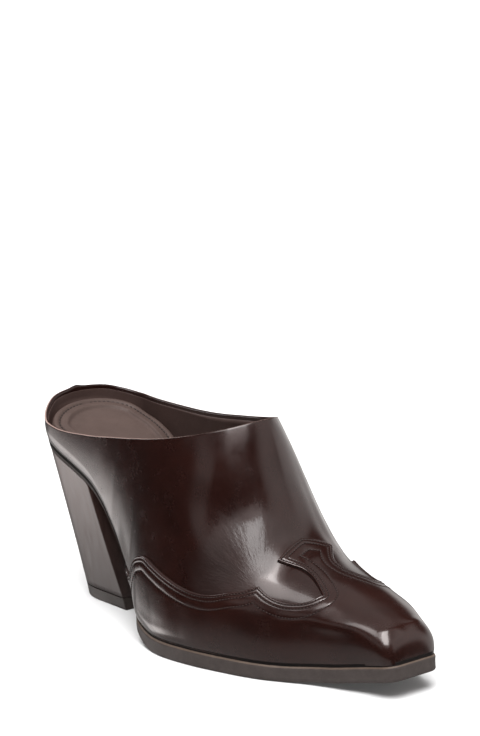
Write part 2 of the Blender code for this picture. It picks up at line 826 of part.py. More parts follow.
def main():
    clear_scene()
    pieces = [
        build_upper(plain_material("upper_leather", UPPER_COLOUR, GLOSSY)),
        build_toe_overlay(plain_material("wing_leather", UPPER_COLOUR, GLOSSY)),
        build_outsole(plain_material("sole_rubber", SOLE_COLOUR, MATTE)),
        build_heel(plain_material("heel_leather", HEEL_COLOUR, SATIN)),
        build_heel_tip(plain_material("tip_rubber", TIP_COLOUR, MATTE)),
        build_insole(plain_material("insole_leather", LINING_COLOUR, MATTE)),
        build_heel_pad(plain_material("pad_leather", LINING_COLOUR, MATTE)),
    ]
    stand_on_origin(pieces)


main()
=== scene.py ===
"""Dressed model of the western mule pump: leather, stitching, linings and studio.

The shape functions repeat the part's own, so that each dressed piece lies where the
CAD has it. All lengths are in metres.
"""
import math
from collections import namedtuple

import bmesh
import bpy
import numpy as np
from mathutils import Matrix, Vector
from mathutils.geometry import delaunay_2d_cdt
from mathutils.kdtree import KDTree


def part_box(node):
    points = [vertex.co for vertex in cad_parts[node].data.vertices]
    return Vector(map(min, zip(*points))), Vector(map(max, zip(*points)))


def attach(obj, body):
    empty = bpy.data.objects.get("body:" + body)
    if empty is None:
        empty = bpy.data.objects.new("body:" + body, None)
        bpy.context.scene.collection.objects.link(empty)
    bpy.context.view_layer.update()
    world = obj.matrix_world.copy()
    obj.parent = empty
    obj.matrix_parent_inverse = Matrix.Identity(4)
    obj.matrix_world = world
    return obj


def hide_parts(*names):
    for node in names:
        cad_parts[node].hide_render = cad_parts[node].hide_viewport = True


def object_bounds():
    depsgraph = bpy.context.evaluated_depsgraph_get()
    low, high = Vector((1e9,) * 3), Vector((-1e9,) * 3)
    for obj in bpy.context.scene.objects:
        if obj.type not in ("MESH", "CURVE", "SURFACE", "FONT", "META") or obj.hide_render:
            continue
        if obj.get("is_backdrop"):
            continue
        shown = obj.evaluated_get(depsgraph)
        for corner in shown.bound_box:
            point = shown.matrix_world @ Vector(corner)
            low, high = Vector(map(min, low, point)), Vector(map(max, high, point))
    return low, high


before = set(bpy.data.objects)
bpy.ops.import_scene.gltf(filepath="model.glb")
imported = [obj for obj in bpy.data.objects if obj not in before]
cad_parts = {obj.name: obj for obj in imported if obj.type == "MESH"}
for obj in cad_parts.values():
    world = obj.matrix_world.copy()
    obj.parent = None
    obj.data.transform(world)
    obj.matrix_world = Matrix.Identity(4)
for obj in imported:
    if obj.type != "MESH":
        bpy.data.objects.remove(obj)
CAD_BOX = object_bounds()
MM = 0.001

# ---- Sizes of the part
UPPER_LENGTH = 0.2435
BALL_WIDTH = 0.088
THROAT_HEIGHT = 0.1075
HEEL_HEIGHT = 0.0811
TOE_SPRING = 0.0085
WALL = 0.0018
TUCK = 0.0020
TUCK_RISE = 0.0075
TUCK_AT_TOE = 0.45
TUCK_FADE = 0.09
LINE_SHARE = 0.35
TOE_CORNER = 0.0045
TOE_SLOPE = 0.0100
TOE_FULLNESS = 2.6
HEEL_CURVE = 0.0205
HEEL_TUCK = 0.0050
SOLE_THICKNESS = 0.0075
SHANK_THICKNESS = 0.0026
SOLE_RIM = 0.0025
SOLE_BEVEL = 0.0008
SOLE_ROUND = 0.0014
RIM_START_ALONG = 0.36
RIM_FADE = 0.08
OVERLAY_THICKNESS = 0.0011
INSOLE_THICKNESS = 0.0055
PAD_THICKNESS = 0.0055
PAD_LENGTH = 0.082
PAD_MARGIN = 0.0011
PAD_NOSE = 0.050
PAD_FULLNESS = 2.2
PAD_TIP = 0.024
HEEL_TIP_THICKNESS = 0.006
HEEL_TIP_LENGTH = 0.0425
HEEL_TIP_WIDTH = 0.0375
HEEL_SLANT = 0.0190
HEEL_TOP_LENGTH = 0.0480
HEEL_INSET = 0.0004
HEEL_ROUND_SHARE = 0.5
HEEL_FULLNESS = 2.3
HEEL_HOLLOW = 0.12
CLEARANCE = 0.0003
TUCK_SHARE = 0.16
THROAT_ALONG = 0.606
THROAT_RUN = 0.016
CHART_WIDTH = 0.06
OUTER_SIDE = -1
INNER_SIDE = 1


def table(names, rows):
    """Rows of numbers, with a name for each column."""
    kind = namedtuple("Row", names)
    return [kind(*row) for row in rows]


PLAN = table("along outer inner", (
    (0.000, 0.322, 0.322), (0.062, 0.341, 0.330), (0.123, 0.350, 0.335), (0.205, 0.350, 0.324),
    (0.287, 0.358, 0.304), (0.370, 0.409, 0.300), (0.431, 0.489, 0.318), (0.522, 0.534, 0.372),
    (0.583, 0.515, 0.402), (0.678, 0.449, 0.412), (0.739, 0.390, 0.395), (0.784, 0.322, 0.372),
    (0.830, 0.253, 0.340), (0.879, 0.202, 0.302), (0.940, 0.145, 0.242), (1.000, 0.105, 0.190)))

BOTTOM = table("along arch spring body bed", (
    (0.000, 1.000, 0.00, 0.00, 0.45), (0.037, 0.957, 0.00, 0.00, 0.55),
    (0.090, 0.883, 0.00, 0.00, 0.75), (0.148, 0.822, 0.00, 0.00, 1.00),
    (0.205, 0.750, 0.00, 0.00, 1.15), (0.250, 0.642, 0.00, 0.00, 1.15),
    (0.282, 0.528, 0.00, 0.00, 1.10), (0.316, 0.398, 0.00, 0.00, 1.05),
    (0.350, 0.279, 0.00, 0.05, 1.00), (0.390, 0.152, 0.00, 0.20, 0.90),
    (0.425, 0.058, 0.00, 0.62, 0.75), (0.455, 0.016, 0.00, 0.92, 0.58),
    (0.490, 0.000, 0.00, 1.00, 0.46), (0.770, 0.000, 0.00, 1.00, 0.40),
    (0.865, 0.000, 0.26, 1.00, 0.40), (0.945, 0.000, 0.68, 1.00, 0.40),
    (1.000, 0.000, 1.00, 1.00, 0.40)))

RIDGE = table("along height lean fullness", (
    (0.000, 1.500, 0.000, 2.00), (0.205, 1.510, 0.005, 2.00), (0.308, 1.480, 0.010, 1.95),
    (0.423, 1.395, 0.020, 1.80), (0.472, 1.320, 0.025, 1.70), (0.522, 1.228, 0.030, 1.62),
    (0.567, 1.130, 0.030, 1.60), (0.606, 1.000, 0.030, 1.60), (0.657, 0.750, 0.015, 1.70),
    (0.706, 0.540, -0.005, 2.00), (0.747, 0.455, -0.010, 2.25), (0.789, 0.415, -0.010, 2.45),
    (0.842, 0.382, 0.005, 2.60), (0.903, 0.340, 0.025, 2.70), (0.965, 0.287, 0.038, 2.70),
    (1.000, 0.260, 0.042, 2.70)))

COLLAR = table("along outer inner", (
    (0.000, 0.895, 0.895), (0.012, 0.885, 0.888), (0.033, 0.852, 0.868), (0.066, 0.812, 0.848),
    (0.123, 0.797, 0.840), (0.205, 0.810, 0.848), (0.308, 0.844, 0.869), (0.411, 0.886, 0.901),
    (0.513, 0.935, 0.940), (0.575, 0.975, 0.975), (0.606, 1.000, 1.000)))

WING_EDGE = table("along turn corner", (
    (0.710, 1.000, True), (0.721, 0.755, True), (0.756, 0.845, False), (0.782, 0.843, False),
    (0.806, 0.790, False), (0.831, 0.700, True), (0.817, 0.600, False), (0.793, 0.545, False),
    (0.765, 0.528, False), (0.723, 0.545, True), (0.701, 0.456, False), (0.667, 0.360, False),
    (0.638, 0.305, False), (0.608, 0.278, False), (0.571, 0.268, False), (0.525, 0.270, False),
    (0.480, 0.274, False), (0.440, 0.268, False), (0.400, 0.225, False), (0.360, 0.120, False),
    (0.333, 0.000, True)))

# ---- Sizes of the dressing
STITCH_ROWS = (1.1 * MM, 2.8 * MM, 6.6 * MM)
STITCH_PITCH = 1.55 * MM
STITCH_LENGTH = 1.12 * MM
THREAD = 0.36 * MM
HOLE = 0.30 * MM
CHANNEL_DEPTH = 0.13 * MM
CHANNEL_WIDTH = 0.36 * MM
RIM_RISE = 0.45 * MM
FOLD_DEPTH = 2.6 * MM
LINING_DROP = 1.5 * MM
FLARE_REACH = 0.080
SEAM_PEAK = 1.0 * MM
SEAM_SPREAD = 3.2 * MM
WELT_SHADOW_RISE = 1.3 * MM
SEAM_ROW_X = 0.045 * MM
SEAM_TURN = 0.196
HEEL_EDGE = 0.7 * MM
PROUD = 0.03 * MM
FOOT_FOLD = 1.6 * MM
LINING_GAP = 0.25 * MM
WING_PUFFS = ((1.95 * MM, 0.5 * MM), (4.7 * MM, 1.2 * MM))
PUFF_HEIGHT = 0.02 * MM
WING_START = 0.325
WING_STEP = 0.7 * MM
EDGE_BANDS = (0.0, 0.2 * MM, 0.5 * MM)
ROW_BANDS = (-0.5 * MM, -0.22 * MM, 0.0, 0.22 * MM, 0.5 * MM)
BAND_MARGIN = 0.3 * MM
ECHO_CLEAR = 0.93
ECHO_MOVED = 0.9
ECHO_BREAK = 2.2
SIDES = (OUTER_SIDE, INNER_SIDE)


# ---- Curves through the tables

def table_curve(rows, column):
    """Smooth curve, without overshoot, through one column of a table."""
    xs = np.array([row.along for row in rows])
    ys = np.array([getattr(row, column) for row in rows])
    steps = np.diff(ys) / np.diff(xs)
    product = steps[1:] * steps[:-1]
    total = np.where(product > 0, steps[1:] + steps[:-1], 1.0)
    slopes = np.where(product > 0, 2 * product / total, 0.0)
    slopes = np.concatenate([steps[:1], slopes, steps[-1:]])

    def value(along):
        along = np.asarray(along, float)
        i = np.clip(np.searchsorted(xs, along, side="right") - 1, 0, len(xs) - 2)
        width = xs[i + 1] - xs[i]
        t = (along - xs[i]) / width
        start = ys[i] * (1 + 2 * t) * (1 - t) ** 2 + slopes[i] * width * t * (1 - t) ** 2
        end = ys[i + 1] * (3 - 2 * t) * t ** 2 - slopes[i + 1] * width * t ** 2 * (1 - t)
        result = np.where(along < xs[0], ys[0] + slopes[0] * (along - xs[0]), start + end)
        return np.where(along > xs[-1], ys[-1] + slopes[-1] * (along - xs[-1]), result)

    return value


ARCH, SPRING = table_curve(BOTTOM, "arch"), table_curve(BOTTOM, "spring")
BODY, BED = table_curve(BOTTOM, "body"), table_curve(BOTTOM, "bed")
HALF = {OUTER_SIDE: table_curve(PLAN, "outer"), INNER_SIDE: table_curve(PLAN, "inner")}
RIM = {OUTER_SIDE: table_curve(COLLAR, "outer"), INNER_SIDE: table_curve(COLLAR, "inner")}
RIDGE_HEIGHT, LEAN = table_curve(RIDGE, "height"), table_curve(RIDGE, "lean")
FULLNESS = table_curve(RIDGE, "fullness")


def rounding(distance, radius, fullness=2.0):
    reach = 1 - np.clip(distance, 0.0, radius) / radius
    return (1 - reach ** fullness) ** (1 / fullness)


def sole_underside(x):
    return ARCH(x / UPPER_LENGTH) * HEEL_HEIGHT + SPRING(x / UPPER_LENGTH) * TOE_SPRING


def sole_depth(x):
    return SHANK_THICKNESS + BODY(x / UPPER_LENGTH) * (SOLE_THICKNESS - SHANK_THICKNESS)


def bed_depth(x):
    return INSOLE_THICKNESS * BED(x / UPPER_LENGTH)


def feather_height(x):
    return sole_underside(x) + sole_depth(x) + CLEARANCE


def toe_front(x):
    return rounding(UPPER_LENGTH - x, TOE_SLOPE, TOE_FULLNESS)


def widest(x, side):
    inner, outer = (HALF[each](x / UPPER_LENGTH) for each in (INNER_SIDE, OUTER_SIDE))
    share = np.where(side > 0, inner, outer)
    corner = TOE_CORNER * (1 - rounding(UPPER_LENGTH - x, TOE_CORNER))
    return share * BALL_WIDTH * rounding(x, HEEL_CURVE) - corner


def smooth_step(value, low, high):
    t = np.clip((value - low) / (high - low), 0, 1)
    return t * t * (3 - 2 * t)


def eased(x, side, turn):
    """Half width up the wall, where the waist's flare has softened."""
    wide, reach = widest(x, side), FLARE_REACH * UPPER_LENGTH
    soft = (widest(x - reach, side) + 2 * wide + widest(x + reach, side)) / 4
    along = x / UPPER_LENGTH
    share = smooth_step(along, 0.14, 0.26) * (1 - smooth_step(along, 0.50, 0.62))
    return wide + (soft - wide) * share * smooth_step(turn, TUCK_SHARE * 0.4, 0.36)


def tuck_at(x):
    forepart = TUCK_AT_TOE + (1 - TUCK_AT_TOE) * rounding(UPPER_LENGTH - x, TUCK_FADE)
    return TUCK * rounding(x, HEEL_CURVE) * forepart * toe_front(x)


def face(x, side, turn):
    """Points of the upper's outer face, in the frame that the part is drawn in."""
    x, side, turn = np.broadcast_arrays(np.asarray(x, float), side, np.asarray(turn, float))
    along = x / UPPER_LENGTH
    lean = LEAN(along) * BALL_WIDTH * rounding(x, 2 * HEEL_CURVE)
    low = feather_height(x)
    ridge = low + (RIDGE_HEIGHT(along) * THROAT_HEIGHT - low) * toe_front(x)
    line = low + np.minimum(TUCK_RISE, LINE_SHARE * (ridge - low)) * toe_front(x)
    side_y = side * eased(x, side, turn)
    t = np.clip(turn / TUCK_SHARE, 0, 1)
    inset = (1 - t) ** 2
    forward = x + HEEL_TUCK * (1 - rounding(x, HEEL_CURVE)) * inset
    low = feather_height(forward)
    tucked = np.stack([forward, side_y - side * tuck_at(x) * inset, low + (line - low) * t], -1)
    angle = (np.clip(turn, TUCK_SHARE, 1) - TUCK_SHARE) / (1 - TUCK_SHARE) * math.pi / 2
    power = FULLNESS(along)
    across, up = np.abs(np.cos(angle)), np.abs(np.sin(angle))
    reach = (across ** power + up ** power) ** (-1 / power)
    y = lean + (side_y - lean) * across * reach
    round_it = np.stack([x, y, line + (ridge - line) * up * reach], -1)
    return np.where((turn < TUCK_SHARE)[..., None], tucked, round_it)


def collar_turn(x, side):
    """Turn at which the wall meets the collar's edge."""
    x = np.asarray(x, float)
    edge = RIM[side](x / UPPER_LENGTH) * THROAT_HEIGHT
    low, high = np.full(x.shape, TUCK_SHARE), np.ones(x.shape)
    for _ in range(40):
        middle = (low + high) / 2
        under = face(x, side, middle)[..., 2] < edge
        low, high = np.where(under, middle, low), np.where(under, high, middle)
    return np.where(x >= THROAT_ALONG * UPPER_LENGTH, 1.0, low)


# ---- The flat chart of the upper: X along, and distance from the ridge across

def chart(x, side, turn):
    return np.stack(np.broadcast_arrays(x, side * (1 - np.asarray(turn)) * CHART_WIDTH), -1)


def on_chart(places):
    side = np.where(places[..., 1] > 0, INNER_SIDE, OUTER_SIDE)
    turn = np.clip(1 - np.abs(places[..., 1]) / CHART_WIDTH, 0, 1)
    return face(np.clip(places[..., 0], -0.001, UPPER_LENGTH), side, turn)


def slopes_on_chart(places, step=0.0003):
    """The face's two tangents along the chart's axes."""
    ahead, behind = places.copy(), places.copy()
    ahead[..., 0] = np.minimum(ahead[..., 0] + step, UPPER_LENGTH)
    behind[..., 0] = ahead[..., 0] - 2 * step
    right, left = places.copy(), places.copy()
    right[..., 1] = np.minimum(right[..., 1] + step, CHART_WIDTH)
    left[..., 1] = np.maximum(left[..., 1] - step, -CHART_WIDTH)
    span = (right[..., 1] - left[..., 1])[..., None]
    along = (on_chart(ahead) - on_chart(behind)) / (2 * step)
    return along, (on_chart(right) - on_chart(left)) / span


def unit(vectors):
    return vectors / np.maximum(np.linalg.norm(vectors, axis=-1, keepdims=True), 1e-12)


def chart_normals(places):
    along, across = slopes_on_chart(places)
    normal = unit(np.cross(along, across))
    seam = places[..., 0] <= 1e-9
    normal[seam, 1] = 0.0
    return unit(normal)


# Soft troughs and ridges, listed one by one: ends and middle as shares along the shoe and
# turns round it, then width and depth. A negative depth stands up as a ridge
Crease = namedtuple("Crease", "side start middle end width depth")
CREASES = [Crease(*row) for row in (
    (-1, (0.775, 0.43), (0.900, 0.43), (0.968, 0.56), 3.4 * MM, -0.95 * MM),
    (1, (0.775, 0.43), (0.900, 0.43), (0.968, 0.58), 3.4 * MM, -0.80 * MM),
    (-1, (0.962, 0.54), (0.974, 0.66), (0.976, 1.00), 2.0 * MM, -0.55 * MM),
    (1, (0.962, 0.56), (0.974, 0.68), (0.976, 1.00), 2.0 * MM, -0.55 * MM),
    (-1, (0.790, 0.76), (0.880, 0.80), (0.955, 0.88), 6.5 * MM, 0.75 * MM),
    (1, (0.790, 0.84), (0.880, 0.86), (0.955, 0.92), 6.5 * MM, 0.45 * MM),
    (-1, (0.545, 0.42), (0.630, 0.56), (0.690, 0.80), 13.0 * MM, 1.90 * MM),
    (-1, (0.560, 0.18), (0.690, 0.30), (0.780, 0.52), 10.0 * MM, -1.10 * MM),
    (-1, (0.745, 0.90), (0.700, 0.86), (0.640, 0.90), 4.0 * MM, 0.25 * MM),
    (-1, (0.706, 0.440), (0.703, 0.420), (0.700, 0.385), 0.8 * MM, 0.10 * MM),
    (-1, (0.713, 0.437), (0.713, 0.415), (0.714, 0.380), 0.8 * MM, 0.10 * MM),
    (-1, (0.721, 0.440), (0.724, 0.420), (0.728, 0.388), 0.8 * MM, 0.10 * MM),
    (1, (0.745, 0.70), (0.680, 0.75), (0.600, 0.85), 3.0 * MM, 0.25 * MM),
    (1, (0.740, 0.62), (0.670, 0.64), (0.580, 0.68), 2.6 * MM, 0.25 * MM),
    (1, (0.735, 0.56), (0.670, 0.54), (0.600, 0.52), 2.2 * MM, 0.20 * MM),
    (-1, (0.000, -0.06), (0.000, 0.100), (0.000, 0.260), 0.6 * MM, 0.40 * MM),
    (-1, (0.150, 0.420), (0.210, 0.390), (0.280, 0.410), 8.0 * MM, 0.30 * MM),
    (1, (0.160, 0.420), (0.210, 0.400), (0.280, 0.410), 8.0 * MM, 0.30 * MM))]

# Fine wrinkles that fan out from the notch between the scallops
FAN_ROOT = (0.735, 0.545)
FAN_ENDS = ((0.600, 0.345), (0.598, 0.400), (0.618, 0.500), (0.626, 0.600), (0.650, 0.690),
            (0.668, 0.770), (0.69, 0.85))
FAN_COUNT = 24


def fan_creases():
    rows, ends, root = [], np.array(FAN_ENDS), np.array(FAN_ROOT)
    for k in range(FAN_COUNT):
        share = (k + 0.5) / FAN_COUNT * (len(ends) - 1)
        sway = math.sin(k * 2.4) * 0.5 + math.sin(k * 5.1) * 0.5
        end = np.array([np.interp(share, range(len(ends)), column) for column in ends.T])
        far = root + (end - root) * (0.92 + 0.18 * sway)
        near = root + (end - root) * (0.38 + 0.14 * math.cos(k * 3.3))
        bent = (near + far) / 2 + np.array((0.004, -0.012)) * math.cos(k * 1.7)
        width = (1.00 + 0.30 * math.cos(k * 2.9)) * MM
        depth = (0.03 + 0.012 * sway) * MM * (-1) ** k
        rows.append(Crease(OUTER_SIDE, near, bent, far, width, depth))
    return rows


def crease_lines():
    lines = []
    for crease in CREASES + fan_creases():
        t = np.linspace(0, 1, 40)[:, None]
        places = (1 - t) ** 2 * np.array(crease.start) + 2 * t * (1 - t) * np.array(crease.middle)
        places = places + t ** 2 * np.array(crease.end)
        points = face(places[:, 0] * UPPER_LENGTH, crease.side, places[:, 1])
        lines.append((points, np.sin(np.pi * t[:, 0]) ** 1.5, crease.width, crease.depth))
    return lines


CREASE_LINES = crease_lines()


NO_LENGTH = 1e-18


def relief(points):
    """Height of the listed creases at points of the face."""
    flat = points.reshape(-1, 3)
    height = np.zeros(len(flat))
    for line, strength, width, depth in CREASE_LINES:
        near = np.all((flat > line.min(0) - 3 * width) & (flat < line.max(0) + 3 * width), axis=1)
        index = np.nonzero(near)[0]
        if not len(index):
            continue
        nearest = np.linalg.norm(flat[index, None] - line[None], axis=2).argmin(1)
        best, firm = np.full(len(index), np.inf), np.zeros(len(index))
        for first in (np.clip(nearest - 1, 0, len(line) - 2), np.clip(nearest, 0, len(line) - 2)):
            step = line[first + 1] - line[first]
            square = np.maximum((step ** 2).sum(1), NO_LENGTH)
            along = np.clip(((flat[index] - line[first]) * step).sum(1) / square, 0, 1)
            gap = np.linalg.norm(flat[index] - line[first] - step * along[:, None], axis=1)
            here = strength[first] * (1 - along) + strength[first + 1] * along
            firm = np.where(gap < best, here, firm)
            best = np.minimum(gap, best)
        height[index] -= firm * depth * np.exp(-(best / width) ** 2)
    return height.reshape(points.shape[:-1])


def lifted(places, height=0.0):
    """Points over the chart, raised off the face along its normal, creases included."""
    points = on_chart(places)
    raise_by = np.asarray(relief(points) + height)
    return points + chart_normals(places) * raise_by[..., None]


# ---- Mesh helpers

SHIFT = Vector((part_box("upper")[0].x, (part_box("heel_tip")[0].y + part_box("heel_tip")[1].y) / 2, 0))


def piece(name, points, faces, material, replaced=(), weld=False, sharp=None):
    """Object from points in the drawing's frame, put where the CAD has it."""
    mesh = bpy.data.meshes.new(name)
    builder = bmesh.new()
    verts = [builder.verts.new(Vector(p) + SHIFT) for p in points]
    for corners in faces:
        if len(set(corners)) > 2:
            try:
                builder.faces.new([verts[c] for c in dict.fromkeys(corners)])
            except ValueError:
                continue
    if weld:
        bmesh.ops.remove_doubles(builder, verts=builder.verts, dist=2e-6)
    loose = [v for v in builder.verts if not v.link_faces]
    bmesh.ops.delete(builder, geom=loose, context="VERTS")
    builder.to_mesh(mesh)
    builder.free()
    mesh.materials.append(material)
    mesh.shade_smooth()
    if sharp is not None:
        mesh.set_sharp_from_angle(angle=math.radians(sharp))
    obj = bpy.data.objects.new(name, mesh)
    bpy.context.scene.collection.objects.link(obj)
    if replaced:
        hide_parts(*replaced)
    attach(obj, "root")
    return obj


def grid_faces(rows, columns, start=0, closed=False, flip=False):
    """Quads of a grid of points stored row by row."""
    faces = []
    for r in range(rows - 1):
        for c in range(columns if closed else columns - 1):
            d = (c + 1) % columns
            a, b = start + r * columns + c, start + r * columns + d
            quad = (a, b, b + columns, a + columns)
            faces.append(quad[::-1] if flip else quad)
    return faces


class Build:
    """Points and faces gathered from several grids."""

    def __init__(self):
        self.points, self.faces = [], []

    def grid(self, points, closed=False, flip=False):
        rows, columns = points.shape[:2]
        self.faces += grid_faces(rows, columns, len(self.points), closed, flip)
        self.points += [tuple(p) for p in points.reshape(-1, 3)]


# ---- Materials

class Nodes:
    """Nodes of a material or world: each input is a constant or another node's output."""

    def __init__(self, owner, shader="Principled BSDF", space="Object"):
        owner.use_nodes = True
        self.tree = owner.node_tree
        self.shader = self.tree.nodes[shader]
        self.where = self.new("TexCoord", {}).outputs[space]

    def fill(self, made, inputs):
        for key, value in inputs.items():
            if isinstance(value, bpy.types.NodeSocket):
                self.tree.links.new(value, made.inputs[key])
            else:
                made.inputs[key].default_value = value
        return made

    def new(self, kind, inputs, **settings):
        made = self.tree.nodes.new("ShaderNode" + kind)
        for key, value in settings.items():
            setattr(made, key, value)
        return self.fill(made, inputs)

    def finish(self, inputs):
        self.fill(self.shader, inputs)

    def noise(self, scale, detail=4.0, rough=0.55, distortion=0.0, where=None):
        return self.new("TexNoise", {
            "Vector": self.where if where is None else where, "Scale": scale,
            "Detail": detail, "Roughness": rough, "Distortion": distortion}).outputs["Fac"]

    def ramp(self, source, *stops):
        made = self.new("ValToRGB", {"Fac": source})
        for element, (place, colour) in zip(made.color_ramp.elements, stops):
            element.position, element.color = place, (*colour, 1.0)
        return made.outputs["Color"]

    def span(self, source, low, high, from_low=0.3, from_high=0.7, **settings):
        return self.new("MapRange", {
            "Value": source, "From Min": from_low, "From Max": from_high,
            "To Min": low, "To Max": high}, **settings).outputs["Result"]

    def window(self, source, outside, inside):
        """Softly from 0 at one value to 1 at the other, whichever of them is higher."""
        falls = float(outside > inside)
        return self.span(source, falls, 1.0 - falls, min(outside, inside), max(outside, inside),
                         interpolation_type="SMOOTHSTEP")

    def bump(self, height, strength, distance, before=None):
        inputs = {"Height": height, "Strength": strength, "Distance": distance}
        if before is not None:
            inputs["Normal"] = before
        return self.new("Bump", inputs).outputs["Normal"]

    def calc(self, operation, *values):
        return self.new("Math", dict(enumerate(values)), operation=operation).outputs[0]

    def vector(self, operation, output, *values):
        made = self.new("VectorMath", dict(enumerate(values)), operation=operation)
        return made.outputs[output]

    def product(self, *values):
        result = values[0]
        for value in values[1:]:
            result = self.calc("MULTIPLY", result, value)
        return result


def leather(name, deep, light, rough=(0.18, 0.30), coat=0.5, coat_rough=0.08, grain=0.03,
            wave=0.12, specular=0.5, pore=2600.0):
    """Leather: patchy tone, uneven gloss, fine pores and a slow waviness."""
    made = bpy.data.materials.new(name)
    nodes = Nodes(made)
    cells = nodes.new("TexVoronoi", {"Scale": pore, "Vector": nodes.where}, feature="SMOOTH_F1")
    normal = nodes.bump(cells.outputs["Distance"], grain, 0.12 * MM)
    normal = nodes.bump(nodes.noise(900.0, 3.0, 0.6), grain * 1.2, 0.2 * MM, normal)
    nodes.finish({
        "Base Color": nodes.ramp(nodes.noise(38.0, 5.0, 0.6, 0.4), (0.25, deep), (0.75, light)),
        "Roughness": nodes.span(nodes.noise(120.0, 6.0, 0.65), *rough),
        "Normal": nodes.bump(nodes.noise(55.0, 2.0, 0.5), wave, 1.2 * MM, normal),
        "Specular IOR Level": specular,
        "Specular Tint": (1.0, 0.88, 0.86, 1.0),
        "Coat Weight": coat,
        "Coat Roughness": coat_rough})
    return made


# The brushed patch: how far it reaches from the notch, over what distances it sets in
# there, how high its streaks stand, and a place on the chart that it points to
PATCH_REACH = 0.043
PATCH_NEAR = (0.004, 0.012)
PATCH_RELIEF = 0.10 * MM
PATCH_AHEAD = (0.655, 0.500)


def feathered(made):
    """Brushed wrinkles on the vamp: streaks that fan out from the notch between the scallops."""
    nodes = Nodes(made)
    along, turn = np.transpose((FAN_ROOT, PATCH_AHEAD))
    root, ahead = face(along * UPPER_LENGTH, OUTER_SIDE, turn)
    normal = Vector(chart_normals(chart(along[0] * UPPER_LENGTH, OUTER_SIDE, turn[0])))
    ahead = (Vector(ahead) - Vector(root)).normalized()
    aside = normal.cross(ahead).normalized()
    offset = nodes.vector("SUBTRACT", 0, nodes.where, Vector(root) + SHIFT)
    gap = nodes.vector("LENGTH", "Value", offset)
    angle = nodes.calc("ARCTAN2", *(nodes.vector("DOT_PRODUCT", "Value", offset, axis)
                                    for axis in (aside, ahead)))
    polar = nodes.new("CombineXYZ", {0: nodes.product(angle, 12.0), 1: nodes.product(gap, 120.0)})
    streak = nodes.noise(1.9, 6.0, 0.62, 0.6, polar.outputs[0])
    spread = nodes.product(
        nodes.window(gap, PATCH_REACH * 1.15, PATCH_REACH * 0.55), nodes.window(gap, *PATCH_NEAR),
        nodes.window(angle, -1.35, -0.75), nodes.window(angle, 1.9, 1.3))
    ragged = nodes.calc("MULTIPLY_ADD", streak, 0.7, nodes.calc("SUBTRACT", spread, 0.35))
    haze = nodes.window(ragged, 0.05, 0.85)
    under, gloss = (nodes.shader.inputs[key].links[0].from_socket
                    for key in ("Normal", "Roughness"))
    height = nodes.product(streak, spread)
    nodes.finish({
        "Normal": nodes.bump(height, 1.0, PATCH_RELIEF, under),
        "Coat Normal": nodes.bump(height, 1.0, PATCH_RELIEF),
        "Roughness": nodes.calc("MULTIPLY_ADD", haze, 0.30, gloss)})


def rubber(name, deep, light, rough=(0.5, 0.65), specular=0.4):
    """Matte rubber or pressed board, with fine speckle and faint streaks."""
    made = bpy.data.materials.new(name)
    nodes = Nodes(made)
    nodes.finish({
        "Base Color": nodes.ramp(nodes.noise(240.0, 6.0, 0.7), (0.3, deep), (0.7, light)),
        "Roughness": nodes.span(nodes.noise(90.0), *rough),
        "Normal": nodes.bump(nodes.noise(1400.0, 4.0, 0.7), 0.25, 0.2 * MM),
        "Specular IOR Level": specular})
    return made


def heel_finish_and_shade(name):
    """Stacked heel: satin, with faint upright streaks, duller towards the floor, and darker there as
    painted shade.
    """
    deep, light = (0.030, 0.015, 0.013), (0.060, 0.033, 0.028)
    made = leather(name, deep, light, coat=0.12, coat_rough=0.2, grain=0.08, wave=0.06)
    nodes = Nodes(made)
    up = nodes.new("SeparateXYZ", {0: nodes.where}).outputs[2]
    stretch = nodes.new("Mapping", {"Vector": nodes.where, "Scale": (1.0, 1.0, 0.06)})
    streak = nodes.noise(420.0, 5.0, 0.65, where=stretch.outputs[0])
    colour = nodes.ramp(streak, (0.30, deep), (0.70, light))
    # Painted shade: the streaked colour is multiplied darker towards the floor.
    shade = nodes.new("Mix", {0: 1.0, 6: colour, 7: nodes.span(up, 0.35, 1.0, 0.0, 0.07)},
                      data_type="RGBA", blend_type="MULTIPLY")
    dull = nodes.span(up, 0.56, 0.30, 0.0, 0.065)
    nodes.finish({
        "Base Color": shade.outputs[2],
        "Roughness": nodes.calc("ADD", dull, nodes.span(streak, -0.05, 0.06))})
    return made


BOX_LEATHER = leather("box_leather", (0.0080, 0.0022, 0.0017), (0.0155, 0.0045, 0.0033),
                      grain=0.018, wave=0.07)
feathered(BOX_LEATHER)
WING_LEATHER = leather("wing_leather", (0.0085, 0.0024, 0.0018), (0.0180, 0.0053, 0.0038),
                       grain=0.022, wave=0.09)
RAW_EDGE = leather("raw_edge", (0.010, 0.005, 0.004), (0.020, 0.010, 0.008), (0.5, 0.7), 0.0)
# Light tan of the topline strips: a painted highlight on the collar's edge.
TOPLINE_HIGHLIGHT = leather("painted_topline_highlight", (0.20, 0.135, 0.118), (0.30, 0.210, 0.185), (0.35, 0.5), 0.1)
LINING = leather("lining", (0.040, 0.024, 0.0205), (0.062, 0.037, 0.032), (0.42, 0.58), 0.0,
                 grain=0.2, wave=0.35, pore=1800.0)
PAD_LEATHER = leather("pad_leather", (0.044, 0.029, 0.025), (0.064, 0.043, 0.037), (0.5, 0.65), 0.0,
                      grain=0.25, wave=0.2, pore=1700.0, specular=0.35)
SOCK_LEATHER = leather("sock_leather", (0.030, 0.018, 0.015), (0.045, 0.027, 0.023), (0.5, 0.62),
                       0.0, grain=0.22, wave=0.2, pore=1700.0)
HEEL_LEATHER = heel_finish_and_shade("heel_leather")
SOLE_RUBBER = rubber("sole_rubber", (0.042, 0.032, 0.029), (0.060, 0.047, 0.043))
SOLE_TOP = rubber("sole_top_edge", (0.075, 0.052, 0.040), (0.11, 0.078, 0.060), (0.45, 0.6))
TIP_RUBBER = rubber("tip_rubber", (0.020, 0.013, 0.011), (0.034, 0.024, 0.020), (0.45, 0.6))
